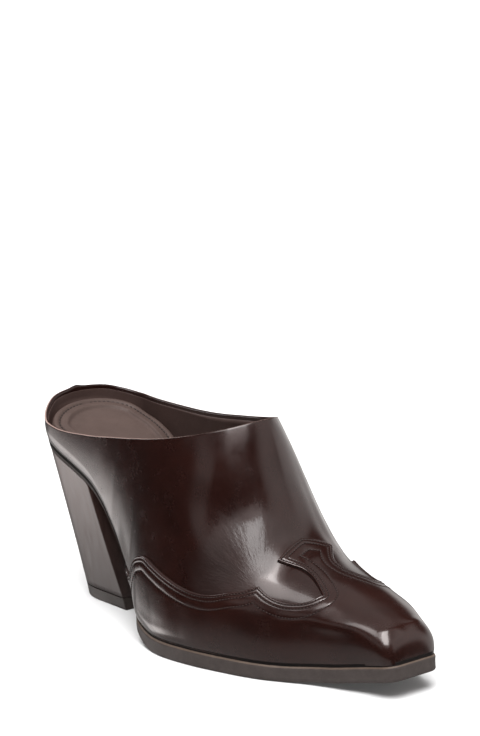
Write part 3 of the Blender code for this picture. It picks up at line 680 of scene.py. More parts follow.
THREAD_MATERIAL = leather("thread", (0.011, 0.0052, 0.0044), (0.022, 0.011, 0.0095), (0.5, 0.65),
                          0.0, grain=0.3, pore=4000.0)
# Near black: painted shade, for the groove between the upper and the sole and for the needle holes.
DARK_PAINTED_SHADE = rubber("painted_shade", (0.004, 0.003, 0.003), (0.009, 0.006, 0.005), (0.6, 0.75), 0.2)
PAD_THREAD = leather("pad_thread", (0.006, 0.004, 0.0035), (0.012, 0.008, 0.007), (0.5, 0.6), 0.0,
                     grain=0.3, pore=4000.0)


# ---- The upper

def back_stations(curved=26, straight=84, closing=24):
    throat = THROAT_ALONG * UPPER_LENGTH
    start = HEEL_CURVE * (1 - np.cos(np.linspace(0, math.pi / 2, curved)))[:-1]
    middle = np.linspace(HEEL_CURVE, throat - THROAT_RUN, straight)[:-1]
    end = THROAT_RUN * (1 - np.linspace(0, 1, closing)) ** 2
    return np.concatenate([start, middle, throat - end])


def front_stations(vamp=46, box=56, end=18):
    tip = UPPER_LENGTH - TOE_SLOPE
    middle = 0.72 * UPPER_LENGTH
    return np.concatenate([
        np.linspace(THROAT_ALONG * UPPER_LENGTH, middle, vamp),
        np.linspace(middle, tip, box)[1:],
        tip + TOE_SLOPE * np.sin(np.linspace(0, math.pi / 2, end)[1:]),
    ])


def wall_places(stations, side, drop=0.0, tuck_rows=8, wall_rows=130):
    """Chart places of one wall: a row for each station, a column for each turn."""
    top = collar_turn(stations, side)
    if drop:
        rim = face(stations, side, top)
        under = face(stations, side, top - 0.01)
        per_turn = np.linalg.norm(rim - under, axis=-1) / 0.01
        top = np.where(top < 1.0, top - drop / np.maximum(per_turn, 0.02), top)
    share = np.linspace(0, 1, tuck_rows + 1)[:-1]
    tuck = np.broadcast_to(share * TUCK_SHARE, (len(stations), tuck_rows))
    rows = TUCK_SHARE + (top - TUCK_SHARE)[:, None] * np.linspace(0, 1, wall_rows + 1)[None]
    turns = np.concatenate([tuck, rows], axis=1)
    return chart(stations[:, None], side, turns)


def rim_loop():
    """Collar's edge as a closed loop: points, outward normals and the direction up and over."""
    stations = back_stations()
    outer = chart(stations, OUTER_SIDE, collar_turn(stations, OUTER_SIDE))
    inner = chart(stations, INNER_SIDE, collar_turn(stations, INNER_SIDE))
    places = np.concatenate([outer, inner[-2:0:-1]])
    points = lifted(places)
    normals = chart_normals(places)
    tangents = unit(np.roll(points, -1, axis=0) - np.roll(points, 1, axis=0))
    over = unit(np.cross(tangents, normals))
    if over[:, 2].sum() < 0:
        over = -over
    peak = SEAM_PEAK * np.exp(-(np.linalg.norm(points - points[0], axis=1) / SEAM_SPREAD) ** 2)
    return points, normals, over, (RIM_RISE + peak)[:, None]


def build_upper():
    stations, front = back_stations(), front_stations()
    made = Build()
    for side in SIDES:
        places = np.concatenate([wall_places(stations, side), wall_places(front, side)[1:]])
        points = lifted(places)
        low = points[:, 0] - unit(chart_normals(places[:, 0]) * (1, 1, 0)) * FOOT_FOLD
        made.grid(np.concatenate([low[:, None], points], axis=1), flip=side == INNER_SIDE)
    rim, normals, over, rise = rim_loop()
    half = WALL / 2

    def rolled(angles):
        """Rows over the collar's rounded edge, from its outer face to its inner one."""
        return [rim - normals * half * (1 - math.cos(a)) + over * rise * math.sin(a)
                for a in angles]

    rows = rolled(np.linspace(0, math.pi, 9))
    rows += [rim - normals * WALL - over * FOLD_DEPTH * share for share in (0.2, 0.5, 0.9, 1.0)]
    rows[-1] = rows[-1] + normals * 0.5 * MM
    made.grid(np.array(rows), closed=True, flip=True)
    piece("upper_leather", made.points, made.faces, BOX_LEATHER, ["upper"],
          weld=True, sharp=50)

    # Painted highlight: a light strip over the upper part of the collar's rounded edge, and one at the
    # lower end of the fold inside.
    line = Build()
    rows = rolled(np.linspace(0.20, 0.46, 6) * math.pi)
    line.grid(np.array(rows) + (over + normals)[None] * PROUD, closed=True, flip=True)
    start = rim - normals * (WALL + PROUD)
    rows = [start - over * FOLD_DEPTH * share for share in (0.86, 0.93, 1.0)]
    line.grid(np.array(rows), closed=True, flip=True)
    piece("topline_highlight_strips", line.points, line.faces, TOPLINE_HIGHLIGHT, weld=True)


def build_lining():
    stations = back_stations(18, 50, 16)
    front = front_stations(24, 26, 8)[:-4]
    made = Build()
    for side in SIDES:
        places = np.concatenate([wall_places(stations, side, LINING_DROP, 5, 30),
                                 wall_places(front, side, 0.0, 5, 30)[1:]])
        points = on_chart(places)
        normals = chart_normals(places)
        inner = points - normals * (WALL + LINING_GAP)
        lip = points[:, -1:] - normals[:, -1:] * (WALL - 0.1 * MM)
        made.grid(np.concatenate([inner, lip], axis=1), flip=side == OUTER_SIDE)
    piece("lining", made.points, made.faces, LINING, weld=True)


# ---- The wing-tip

def edge_places(side, steps=12):
    """Chart places along one side of the wing's edge, from the ridge to the sole."""
    rows, places = WING_EDGE, []
    for i in range(len(rows) - 1):
        before = rows[i - 1] if i and not rows[i].corner else rows[i]
        after = rows[i + 2] if not rows[i + 1].corner else rows[i + 1]
        four = np.array([(r.along, r.turn) for r in (before, rows[i], rows[i + 1], after)])
        for t in np.arange(steps) / steps:
            weights = (-t + 2 * t ** 2 - t ** 3, 2 - 5 * t ** 2 + 3 * t ** 3,
                       t + 4 * t ** 2 - 3 * t ** 3, -t ** 2 + t ** 3)
            places.append(np.array(weights) @ four / 2)
    places.append(np.array((rows[-1].along, rows[-1].turn)))
    places = np.array(places)
    return chart(places[:, 0] * UPPER_LENGTH, side, places[:, 1])


def dense(places, step):
    """The same path on the chart, with points about a step apart on the face."""
    points = on_chart(places)
    gaps = np.linalg.norm(np.diff(points, axis=0), axis=1)
    result = [places[:1]]
    for i, gap in enumerate(gaps):
        count = max(1, int(round(gap / step)))
        t = np.linspace(0, 1, count + 1)[1:, None]
        result.append(places[i] * (1 - t) + places[i + 1] * t)
    return np.concatenate(result)


def walk(places, headings, distance, parts=4):
    """Places a distance away over the face, each in its own direction in space."""
    places = places.copy()
    for _ in range(parts):
        along, across = slopes_on_chart(places)
        normal = unit(np.cross(along, across))
        heading = unit(headings - normal * np.sum(headings * normal, -1, keepdims=True))
        heading = heading * distance / parts
        aa, ab, bb = (np.sum(p * q, -1) for p, q in (
            (along, along), (along, across), (across, across)))
        ah, bh = np.sum(along * heading, -1), np.sum(across * heading, -1)
        det = np.maximum(aa * bb - ab * ab, 1e-12)
        places += np.stack([(ah * bb - bh * ab) / det, (bh * aa - ah * ab) / det], -1)
        places[..., 0] = np.clip(places[..., 0], 0, UPPER_LENGTH)
        places[..., 1] = np.clip(places[..., 1], -CHART_WIDTH, CHART_WIDTH)
    return places


class WingEdge:
    """The wing's cut edge, with distances from it and lines that echo it inside."""

    def __init__(self):
        inner, outer = edge_places(INNER_SIDE), edge_places(OUTER_SIDE)
        self.path = np.concatenate([inner[::-1], outer[1:]])
        self.fine = dense(self.path, 0.35 * MM)
        self.points = on_chart(self.fine)
        self.tree = KDTree(len(self.points))
        for i, point in enumerate(self.points):
            self.tree.insert(point, i)
        self.tree.balance()

    def distance(self, points):
        return np.array([self.tree.find(p)[2] for p in points])

    def echo(self, distance, step, margin=1e-4):
        """Runs of places at a distance inside the edge, cut where they would cross."""
        places = dense(self.path, step)
        points = on_chart(places)
        normals = chart_normals(places)
        before = unit(points - np.roll(points, 1, axis=0))
        after = unit(np.roll(points, -1, axis=0) - points)
        before[0], after[-1] = after[0], before[-1]
        starts, headings = [], []
        for i in range(len(places)):
            ends = [unit(np.cross(normals[i], t)) for t in (before[i], after[i])]
            turn = math.acos(float(np.clip(ends[0] @ ends[1], -1, 1)))
            count = max(1, int(turn * distance / step) + 1)
            for t in np.linspace(0, 1, count + 1)[:-1] if count > 1 else (0.5,):
                starts.append(places[i])
                headings.append(unit(ends[0] * (1 - t) + ends[1] * t))
        moved = walk(np.array(starts), np.array(headings), distance)
        where = on_chart(moved)
        keep = self.distance(where) > ECHO_CLEAR * distance
        moves = np.linalg.norm(where - on_chart(np.array(starts)), axis=1)
        keep &= moves > ECHO_MOVED * distance
        keep &= np.abs(moved[:, 1]) <= CHART_WIDTH * (1 - margin)
        runs, run = [], []
        for i in np.nonzero(keep)[0]:
            if run and np.linalg.norm(where[i] - where[run[-1]]) > ECHO_BREAK * max(step, MM):
                runs.append(run)
                run = []
            run.append(i)
        runs.append(run)
        return [moved[run] for run in runs if len(run) > 2]


def wing_height(distance):
    """Height of the wing's face over the upper, by the distance from its cut edge."""
    height = CLEARANCE + OVERLAY_THICKNESS * rounding(distance + 0.08 * MM, 0.55 * MM)
    for row in STITCH_ROWS:
        height = height - CHANNEL_DEPTH * np.exp(-((distance - row) / CHANNEL_WIDTH) ** 2)
    puff = sum(np.exp(-((distance - middle) / reach) ** 2) for middle, reach in WING_PUFFS)
    return height + PUFF_HEIGHT * puff


def build_wing(edge):
    last_low = front_stations()[-2]
    toe = [chart(last_low, OUTER_SIDE, 0.0), chart(UPPER_LENGTH, OUTER_SIDE, TUCK_SHARE),
           chart(UPPER_LENGTH, INNER_SIDE, TUCK_SHARE), chart(last_low, INNER_SIDE, 0.0)]
    fine = dense(edge.path, WING_STEP)
    back = [x for x in back_stations() if x > WING_START * UPPER_LENGTH][:-1]
    stations = np.array(back + list(front_stations(vamp=34, box=52, end=18)))
    turns = np.concatenate([np.linspace(0, TUCK_SHARE, 9)[:-1], np.linspace(TUCK_SHARE, 1.0, 66)])
    places = []
    for x in stations:
        for side in SIDES:
            top = min(float(collar_turn(x, side)), 1.0)
            rows = turns[turns <= top + 1e-9]
            if x >= UPPER_LENGTH:
                rows = rows[rows >= TUCK_SHARE - 1e-9]
            places.append(chart(np.full(len(rows), x), side, rows))
    places = np.concatenate(places)
    gap = edge.distance(on_chart(places))
    bands = [*EDGE_BANDS, *(row + shift for row in STITCH_ROWS for shift in ROW_BANDS)]
    close = np.min(np.abs(gap[:, None] - np.array(bands)[None]), axis=1) < BAND_MARGIN
    on_border = np.abs(places[:, 1]) > CHART_WIDTH * (1 - 1e-9)
    on_border |= places[:, 0] >= UPPER_LENGTH
    places = np.unique(np.round(places[~close | on_border], 9), axis=0)
    outline = [Vector(p) for p in toe] + [Vector(p) for p in fine]
    points = [Vector(p) for p in places] + outline
    loop = list(range(len(places), len(points)))
    constraints = []
    for band in bands[1:]:
        for run in edge.echo(band, WING_STEP):
            start = len(points)
            points += [Vector(p) for p in run]
            constraints += [(i, i + 1) for i in range(start, len(points) - 1)]
    flat, _, triangles, _, _, owners = delaunay_2d_cdt(points, constraints, [loop], 0, 1e-7, True)
    kept = [t for t, owner in zip(triangles, owners) if owner]
    flat = np.array([tuple(p) for p in flat])
    top = lifted(flat, wing_height(edge.distance(on_chart(flat))))
    sides = dict.fromkeys(pair for a, b, c in kept for pair in ((a, b), (b, c), (c, a)))
    border = [pair for pair in sides if pair[::-1] not in sides]
    corners = sorted({i for pair in border for i in pair})
    number = {i: n for n, i in enumerate(corners)}
    count = len(corners)
    wall = [*top[corners], *lifted(flat[corners], -0.3 * MM)]
    faces = [(number[b], number[a], number[a] + count, number[b] + count) for a, b in border]
    piece("wing_tip", top, kept, WING_LEATHER, ["toe_overlay"], sharp=60)
    piece("wing_cut_edge", wall, faces, RAW_EDGE, weld=True, sharp=50)


class Path:
    """Path in space with the face's normals, and the frames along it."""

    def __init__(self, points, normals):
        self.columns = np.concatenate([points, normals], axis=1).T
        gaps = np.linalg.norm(np.diff(points, axis=0), axis=1)
        self.run = np.concatenate([[0], np.cumsum(gaps)])

    def at(self, distance):
        row = np.array([np.interp(distance, self.run, column) for column in self.columns])
        return row[:3], unit(row[3:])

    def frame(self, distance):
        """Point, up and across at a distance along the path."""
        centre, up = self.at(distance)
        ahead = self.at(distance + 0.1 * MM)[0] - centre
        return centre, up, unit(np.cross(unit(ahead), up))

    def steps(self, pitch, length, share):
        """Distances at a share of each pitch, as many as the path has room for."""
        count = int((self.run[-1] - length) // pitch)
        return [length / 2 + (k + share) * pitch for k in range(count)]


# Rings of a stitch: place along it, girth and rise, the last two in radii of the thread
STITCH_RINGS = ((-0.5, 0.45, -0.75), (-0.36, 0.9, 0.1), (0.0, 1.0, 0.45), (0.36, 0.9, 0.1),
                (0.5, 0.45, -0.75))
STITCH_SIDES = 6
HOLE_SIDES = 8


def add_stitches(made, path, pitch, length, thread, sink=0.35):
    """Short threads laid end to end on a path."""
    for middle in path.steps(pitch, length, 0.5):
        start = len(made.points)
        rings = []
        for place, girth, rise in STITCH_RINGS:
            centre, up, across = path.frame(middle + place * length)
            centre = centre + up * thread * (rise - sink)
            angles = [2 * math.pi / STITCH_SIDES * turn for turn in range(STITCH_SIDES)]
            rings.append([centre + (across * math.cos(a) + up * math.sin(a)) * thread * girth
                          for a in angles])
        made.grid(np.array(rings), closed=True)
        last = len(made.points)
        made.faces.append(tuple(range(start + STITCH_SIDES - 1, start - 1, -1)))
        made.faces.append(tuple(range(last - STITCH_SIDES, last)))


def add_hole_shade(made, path, pitch, length, radius):
    """Dark spots between the stitches of a row, painted shade in the holes where the needle went in."""
    for place in path.steps(pitch, length, 1.0):
        centre, up, across = path.frame(place)
        along = np.cross(up, across) * 0.8
        first = len(made.points) + 1
        made.points.append(centre + up * 0.10 * MM)
        for turn in range(HOLE_SIDES):
            a = 2 * math.pi / HOLE_SIDES * turn
            spoke = (across * math.cos(a) + along * math.sin(a)) * radius
            made.points.append(centre + spoke + up * 0.05 * MM)
        made.faces += [(first - 1, first + n, first + (n + 1) % HOLE_SIDES)
                       for n in range(HOLE_SIDES)]


def build_stitches(edge):
    made, hole_shade = Build(), Build()
    for row in STITCH_ROWS:
        for run in edge.echo(row, 0.5 * MM, 0.045):
            path = Path(lifted(run, wing_height(np.full(len(run), row))), chart_normals(run))
            add_stitches(made, path, STITCH_PITCH, STITCH_LENGTH, THREAD)
            add_hole_shade(hole_shade, path, STITCH_PITCH, STITCH_LENGTH, HOLE)
    turns = np.linspace(0.02, SEAM_TURN - 0.012, 120)
    for side in SIDES:
        run = on_chart(chart(np.full(len(turns), SEAM_ROW_X), side, turns))
        path = Path(run, np.broadcast_to((-1.0, side * 0.08, 0.0), run.shape))
        add_stitches(made, path, STITCH_PITCH, STITCH_LENGTH, THREAD)
    piece("wing_stitches", made.points, made.faces, THREAD_MATERIAL)
    piece("needle_hole_shade", hole_shade.points, hole_shade.faces, DARK_PAINTED_SHADE)


# ---- Layers under the foot

def plan_line(stations, side, offset, height=None):
    """One side of the upper's outline from above, moved out by an offset."""
    turn = 0.0 if height is None else TUCK_SHARE * np.minimum(height / TUCK_RISE, 1)
    line = face(stations, side, turn)[:, :2]
    before = np.roll(line, 1, axis=0)
    after = np.roll(line, -1, axis=0)
    before[0] = line[1] * (1, -1)
    after[-1] = line[-1] - (0, side * 0.01)
    ahead = unit(after - before)
    outward = np.stack([ahead[:, 1], -ahead[:, 0]], -1) * (1 if side == OUTER_SIDE else -1)
    return line + outward * np.asarray(offset)[..., None]


def rim_at(x):
    fade = np.clip((x / UPPER_LENGTH - RIM_START_ALONG) / RIM_FADE, 0, 1)
    return SOLE_RIM * fade * fade * (3 - 2 * fade)


def sole_stations():
    return np.concatenate([back_stations(26, 70, 10), front_stations(20, 44, 18)[1:]])


def ring_of(stations, offset, height, lift=None):
    """Closed ring round the sole: the outer side from the back, then the inner side."""
    lines = []
    for side in SIDES:
        line = plan_line(stations, side, offset, lift)
        lines.append(np.concatenate([line, height(line[:, 0])[:, None]], axis=1))
    return np.concatenate([lines[0], lines[1][:0:-1]])


def lidded(name, rings, material, replaced, sharp=45):
    """Closed layer from rings, with a lid of strips across its top and its bottom."""
    made = Build()
    made.grid(np.array(rings), closed=True, flip=True)
    half = len(rings[0]) // 2
    for ring, flip in ((rings[0], True), (rings[-1], False)):
        outer = ring[:half + 1]
        inner = np.concatenate([ring[:1], ring[:half:-1]])
        t = np.linspace(0, 1, 9)[:, None, None]
        made.grid(outer[None] * (1 - t) + inner[None] * t, flip=not flip)
    return piece(name, made.points, made.faces, material, replaced, weld=True, sharp=sharp)


def build_outsole():
    stations = sole_stations()
    rim = rim_at(stations)

    def top(x):
        return sole_underside(x) + sole_depth(x)

    def rounded(angles, out=0.0):
        """Rings round the sole's upper edge, moved out and up by a little."""
        for angle in angles:
            drop = SOLE_ROUND * (1 - math.sin(angle))
            inset = SOLE_ROUND * (1 - math.cos(angle))
            yield ring_of(stations, rim - inset + out,
                          lambda x: top(x) + out - drop * sole_depth(x) / SOLE_THICKNESS)

    rings = []
    for inset, rise in ((1.0, 0.0), (0.62, 0.12), (0.25, 0.45), (0.0, 1.0)):
        rings.append(ring_of(stations, rim - SOLE_BEVEL * inset,
                             lambda x: sole_underside(x) + SOLE_BEVEL * rise))
    for share in (0.25, 0.5, 0.72):
        rings.append(ring_of(
            stations, rim - 0.12 * MM * math.sin(math.pi * share),
            lambda x: sole_underside(x) + SOLE_BEVEL + share * (sole_depth(x) - 2 * SOLE_BEVEL)))
    rings += rounded(np.linspace(0, math.pi / 2, 7))
    lidded("outsole_body", rings, SOLE_RUBBER, ["outsole"])
    stripe = Build()
    shown = list(rounded(np.linspace(0.30, 0.85, 5) * math.pi / 2, PROUD))
    stripe.grid(np.array(shown), closed=True, flip=True)
    piece("sole_top_edge", stripe.points, stripe.faces, SOLE_TOP, weld=True)
    build_welt_shadow(stations, top)


def build_welt_shadow(stations, top):
    """Band of painted shadow round the foot of the leather, in the groove over the sole's top edge,
    which reads as a dark line over the sole.
    """
    wing = CLEARANCE + OVERLAY_THICKNESS
    foot = 0.14 * MM + wing * smooth_step(stations / UPPER_LENGTH, WING_START, 0.345)
    rows = [ring_of(stations, foot + 0.25 * MM, lambda x: top(x) + 0.03 * MM),
            ring_of(stations, foot + 0.05 * MM, lambda x: top(x) + 0.10 * MM)]
    for share, inset in ((0.3, 0.0), (0.7, 0.0), (0.95, 0.0), (1.0, 0.4 * MM)):
        rise = WELT_SHADOW_RISE * share
        rows.append(ring_of(stations, foot - inset, lambda x: top(x) + CLEARANCE + rise, rise))
    made = Build()
    made.grid(np.array(rows), closed=True, flip=True)
    piece("welt_shadow_line", made.points, made.faces, DARK_PAINTED_SHADE, weld=True)


def build_insole():
    stations = sole_stations()
    bed = bed_depth(stations)
    rings = []
    for share in (0.0, 0.5, 0.9, 1.0):
        margin = 0.55 * MM if share < 1 else 1.0 * MM
        rings.append(ring_of(stations, np.full(len(stations), -WALL - margin),
                             lambda x: feather_height(x) + share * bed_depth(x), share * bed))
    lidded("sock_lining", rings, SOCK_LEATHER, ["insole"])


def pad_stations():
    front = PAD_LENGTH - PAD_TIP
    turns = np.linspace(0, math.pi / 2, 30)
    return np.concatenate([
        HEEL_CURVE * (1 - np.cos(turns))[:-1],
        np.linspace(HEEL_CURVE, front, 26),
        front + PAD_TIP * np.sin(turns[1:]),
    ])


def pad_ring(edge, rise):
    """Ring of the heel pad, an edge distance in from its outline, at a rise over the seat."""
    stations = pad_stations()
    seat = bed_depth(stations) + CLEARANCE
    lines = []
    for side in SIDES:
        offset = np.full(len(stations), -WALL - CLEARANCE - PAD_MARGIN)
        line = plan_line(stations, side, offset, seat + rise)
        line[:, 1] *= rounding(PAD_LENGTH - line[:, 0], PAD_NOSE, PAD_FULLNESS)
        lines.append(line)
    ring = np.concatenate([lines[0], lines[1][-2:0:-1]])
    ahead = unit(np.roll(ring, -1, axis=0) - np.roll(ring, 1, axis=0))
    outward = np.stack([ahead[:, 1], -ahead[:, 0]], -1)
    ring = ring - outward * edge
    x = np.clip(ring[:, 0], 0, None)
    z = feather_height(x) + bed_depth(x) + CLEARANCE + rise
    return np.concatenate([ring, z[:, None]], axis=1)


# Distances in from the pad's outline, in millimetres, closer together at the groove and step
PAD_EDGES = (0.0, 0.15, 0.4, 0.8, 1.3, 1.8, 2.4, 2.9, 3.3, 3.6, 3.8, 4.0, 4.2, 4.4, 4.7, 5.2, 5.9,
             6.6, 7.2, 7.7, 8.0, 8.25, 8.5, 8.75, 9.0, 9.3, 9.8, 10.8, 12.0)
PAD_GROOVE = 4.0 * MM


def pad_rise(edge):
    """Rise of the pad's face, by the distance in from its outline."""
    rise = PAD_THICKNESS * (0.25 + 0.75 * rounding(edge, 2.2 * MM))
    rise -= 0.85 * MM * math.exp(-((edge - PAD_GROOVE) / (0.65 * MM)) ** 2)
    step = 1 / (1 + math.exp(-(edge - 8.6 * MM) / (0.28 * MM)))
    rise -= 1.0 * MM * step
    rise += 0.30 * MM * math.exp(-((edge - 7.6 * MM) / (0.9 * MM)) ** 2)
    return rise + 0.45 * MM * step * min(1.0, max(0.0, (edge - 9.2 * MM) / (6 * MM)))


def build_pad():
    rings = [pad_ring(0.0, 0.0), pad_ring(0.0, 0.12 * PAD_THICKNESS)]
    rings += [pad_ring(edge * MM, pad_rise(edge * MM)) for edge in PAD_EDGES]
    made = Build()
    made.grid(np.array(rings), closed=True, flip=True)
    last = rings[-1]
    half = len(last) // 2
    outer = last[:half + 1]
    inner = np.concatenate([last[:1], last[:half - 1:-1]])
    count = min(len(outer), len(inner))
    t = np.linspace(0, 1, 13)[:, None, None]
    made.grid(outer[None, :count] * (1 - t) + inner[None, :count] * t)
    low = rings[0]
    made.grid(np.stack([low, low * 0 + low.mean(0)]), closed=True)
    pad = piece("heel_pad_sock", made.points, made.faces, PAD_LEATHER, ["heel_pad"],
                weld=True, sharp=70)
    row = pad_ring(PAD_GROOVE, pad_rise(PAD_GROOVE))
    row = np.concatenate([row, row[:1]])
    threads = Build()
    path = Path(row, np.broadcast_to((0.0, 0.0, 1.0), row.shape))
    add_stitches(threads, path, 2.3 * MM, 1.4 * MM, 0.42 * MM, -0.2)
    piece("pad_stitches", threads.points, threads.faces, PAD_THREAD)


# ---- The heel

def heel_shares(round_steps=22, side_steps=12):
    turned = HEEL_ROUND_SHARE * (1 - np.cos(np.linspace(0, math.pi / 2, round_steps)))
    return np.concatenate([turned, np.linspace(HEEL_ROUND_SHARE, 1.0, side_steps)[1:]])


def breast_corner(line, side, steps=7):
    end = line[-1]
    turn = np.linspace(0, math.pi / 2, steps)
    arc = np.stack([1 - np.sin(turn), side * (1 - np.cos(turn))], -1)
    return np.concatenate([line[:-1], end - HEEL_EDGE * arc])


def heel_foot(side):
    shares = heel_shares()
    half = HEEL_TIP_WIDTH / 2 * rounding(shares, HEEL_ROUND_SHARE, HEEL_FULLNESS)
    return breast_corner(np.stack([HEEL_SLANT + shares * HEEL_TIP_LENGTH, side * half], -1), side)


def heel_head(side):
    shares = heel_shares()
    rest = (shares - HEEL_ROUND_SHARE) / (1 - HEEL_ROUND_SHARE)
    places = np.where(shares <= HEEL_ROUND_SHARE, shares / HEEL_ROUND_SHARE * HEEL_CURVE,
                      HEEL_CURVE + (HEEL_TOP_LENGTH - HEEL_CURVE) * rest)
    line = plan_line(places, side, np.full(len(places), -HEEL_INSET))
    line[-1, 0] = HEEL_TOP_LENGTH
    return breast_corner(line, side)


def heel_ring(climb, height, inset=0.0):
    flare = climb + HEEL_HOLLOW * (climb ** 2 - climb)
    lines = []
    for side in SIDES:
        foot, head = heel_foot(side), heel_head(side)
        lines.append(foot + (head - foot) * (climb, flare))
    ring = np.concatenate([lines[0], lines[1][:0:-1]])
    if inset:
        centre = ring.mean(0)
        ring = ring + unit(centre - ring) * inset
    z = height(ring[:, 0])
    return np.concatenate([ring, np.broadcast_to(z, (len(ring),))[:, None]], axis=1)


def level(height):
    return lambda x: height + 0 * x


def build_heel():
    base = HEEL_TIP_THICKNESS + 0.1 * MM
    start = base / HEEL_HEIGHT
    rings = [heel_ring(start, level(base), 0.5 * MM),
             heel_ring(start, level(base + 0.15 * MM), 0.15 * MM)]
    for share in np.linspace(0.006, 1.0, 26):
        rings.append(heel_ring(start + (1 - start) * share,
                               lambda x: base + (sole_underside(x) - 0.05 * MM - base) * share))
    lidded("heel_cover", rings, HEEL_LEATHER, ["heel"], sharp=42)
    rings = [heel_ring(0.0, level(0.0), 0.5 * MM), heel_ring(0.0, level(0.35 * MM))]
    for height in (2 * MM, 4 * MM, HEEL_TIP_THICKNESS - 0.3 * MM):
        rings.append(heel_ring(height / HEEL_HEIGHT, level(height)))
    top = level(HEEL_TIP_THICKNESS - 0.1 * MM)
    rings.append(heel_ring(HEEL_TIP_THICKNESS / HEEL_HEIGHT, top, 0.3 * MM))
    lidded("top_lift", rings, TIP_RUBBER, ["heel_tip"], sharp=42)


# ---- Studio. Azimuth 0 looks from -Y, 90 from +X; angles are in degrees

FLOOR_HALF = 6.0
LIGHTS_AIM = Vector((0.0, 0.0, 0.05))
BOXES = table("name azimuth elevation distance width height power glossy", (
    ("key_box", 52, 61, 4.0, 2.3, 2.3, 150, True), ("top_box", 54, 68, 4.0, 3.0, 3.0, 110, False),
    ("wing_box", 6, 60, 4.0, 1.7, 1.7, 30, True), ("left_box", -80, 30, 3.0, 0.5, 1.6, 11, True),
    ("rear_box", -130, 62, 4.0, 3.2, 3.2, 110, False)))

# Soft areas of the studio round the shoe: centre and half width in azimuth, lowest and
# highest elevation, softness, and brightness
GLOWS = table("azimuth half low high soft power", (
    (-25, 85, -95, -15, 4, 0.42), (-62, 20, -30, -16, 3, 1.9), (-58, 9, -30, -14, 3, 1.7),
    (178, 40, -16, 20, 8, 1.1), (178, 80, -95, -14, 8, 0.35), (0, 174, 46, 95, 8, 0.42),
    (40, 60, 50, 95, 8, 0.4), (125, 30, 20, 50, 8, 0.8), (-4, 12, 17, 33, 6, 0.45)))
WORLD_BASE = 0.018

# The camera as worked out from the photo: directions, metres, and pixels of the photo
CAMERA_AZIMUTH, CAMERA_ELEVATION, CAMERA_ROLL = 52.15, 17.15, 1.88
CAMERA_DISTANCE = 1.480
CAMERA_AIM = Vector((0.120, 0.0, 0.045))
PHOTO_WIDTH, PHOTO_HEIGHT = 480.0, 736.0
AIM_ACROSS, AIM_DOWN = 229.62, 538.98
FOCAL_PIXELS = 3167.2
SENSOR = 36.0


def direction(azimuth, elevation):
    a, e = math.radians(azimuth), math.radians(elevation)
    return Vector((math.sin(a) * math.cos(e), -math.cos(a) * math.cos(e), math.sin(e)))


def link(name, data):
    made = bpy.data.objects.new(name, data)
    bpy.context.scene.collection.objects.link(made)
    return made


def build_lights():
    """Soft boxes, turned towards the shoe."""
    for box in BOXES:
        back = direction(box.azimuth, box.elevation)
        data = bpy.data.lights.new(box.name, "AREA")
        data.shape = "RECTANGLE"
        data.size, data.size_y, data.energy = box.width, box.height, box.power
        light = link(box.name, data)
        light.location = LIGHTS_AIM + back * box.distance
        light.rotation_euler = back.to_track_quat("Z", "Y").to_euler()
        light.visible_camera = False
        light.visible_glossy = box.glossy


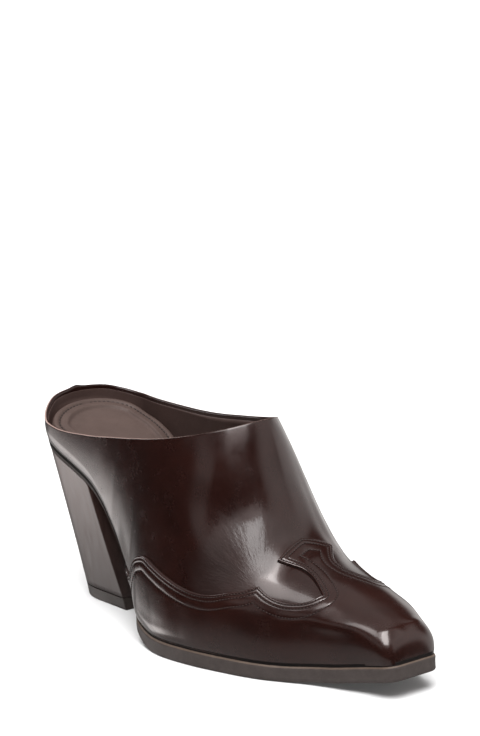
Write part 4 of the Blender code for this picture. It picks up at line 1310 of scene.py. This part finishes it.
def build_floor():
    mesh = bpy.data.meshes.new("floor")
    corners = [(x * FLOOR_HALF, y * FLOOR_HALF, 0) for x, y in ((-1, -1), (1, -1), (1, 1), (-1, 1))]
    mesh.from_pydata(corners, [], [(0, 1, 2, 3)])
    floor = link("floor", mesh)
    made = bpy.data.materials.new("floor_paper")
    nodes = Nodes(made)
    tone = nodes.noise(3.0, 2.0)
    nodes.finish({
        "Base Color": nodes.ramp(tone, (0.2, (0.66, 0.66, 0.665)), (0.8, (0.69, 0.69, 0.69))),
        "Roughness": 0.9,
        "Specular IOR Level": 0.1,
        "Emission Color": (1.0, 1.0, 1.0, 1.0),
        "Emission Strength": 0.06})
    mesh.materials.append(made)
    floor.visible_glossy = False
    floor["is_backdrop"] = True


def build_world():
    """Dim studio with soft glows: white paper low and behind, a dark belt in front."""
    world = bpy.data.worlds.new("studio")
    bpy.context.scene.world = world
    nodes = Nodes(world, "Background", "Generated")
    calc, product = nodes.calc, nodes.product
    x, y, z = nodes.new("SeparateXYZ", {0: nodes.where}).outputs
    flat = calc("SQRT", calc("ADD", product(x, x), product(y, y)))
    flat = calc("MAXIMUM", flat, 0.02)
    rise = calc("ARCSINE", z)
    total = WORLD_BASE
    for glow in GLOWS:
        a = math.radians(glow.azimuth)
        ahead = calc("SUBTRACT", product(x, math.sin(a)), product(y, math.cos(a)))
        wide, narrow = (math.cos(math.radians(max(glow.half + soft, 0)))
                        for soft in (glow.soft, -glow.soft))
        sides = nodes.window(calc("DIVIDE", ahead, flat), wide, narrow)
        low, high = (nodes.window(rise, math.radians(edge - soft), math.radians(edge + soft))
                     for edge, soft in ((glow.low, glow.soft), (glow.high, -glow.soft)))
        total = calc("MULTIPLY_ADD", product(sides, low, high), glow.power, total)
    nodes.finish({"Color": (1.0, 0.965, 0.945, 1), "Strength": total})


def build_camera():
    spot = Vector((AIM_ACROSS - PHOTO_WIDTH / 2, PHOTO_HEIGHT / 2 - AIM_DOWN, -FOCAL_PIXELS))
    back = direction(CAMERA_AZIMUTH, CAMERA_ELEVATION)
    right = direction(CAMERA_AZIMUTH + 90, 0)
    up = back.cross(right)
    roll = math.radians(CAMERA_ROLL)
    across = right * math.cos(roll) - up * math.sin(roll)
    over = right * math.sin(roll) + up * math.cos(roll)
    turned = Matrix((across, over, back)).transposed()
    aim = Vector((0, 0, -1)).rotation_difference(spot.normalized()).to_matrix()
    data = bpy.data.cameras.new("camera")
    data.sensor_width = SENSOR
    data.lens = FOCAL_PIXELS / PHOTO_HEIGHT * SENSOR
    data.clip_start, data.clip_end = 0.05, 40.0
    camera = link("camera", data)
    camera.location = CAMERA_AIM + SHIFT + back * CAMERA_DISTANCE
    camera.rotation_mode = "QUATERNION"
    camera.rotation_quaternion = (turned @ aim.inverted()).to_quaternion()
    bpy.context.scene.camera = camera


def main():
    bpy.context.scene.view_settings.view_transform = "Standard"
    build_camera()
    build_world()
    build_floor()
    build_lights()
    build_upper()
    build_lining()
    edge = WingEdge()
    build_wing(edge)
    build_stitches(edge)
    build_outsole()
    build_insole()
    build_pad()
    build_heel()
    boxes = {"cad": CAD_BOX, "visual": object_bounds()}
    {name: [list(corner) for corner in box] for name, box in boxes.items()}


main()
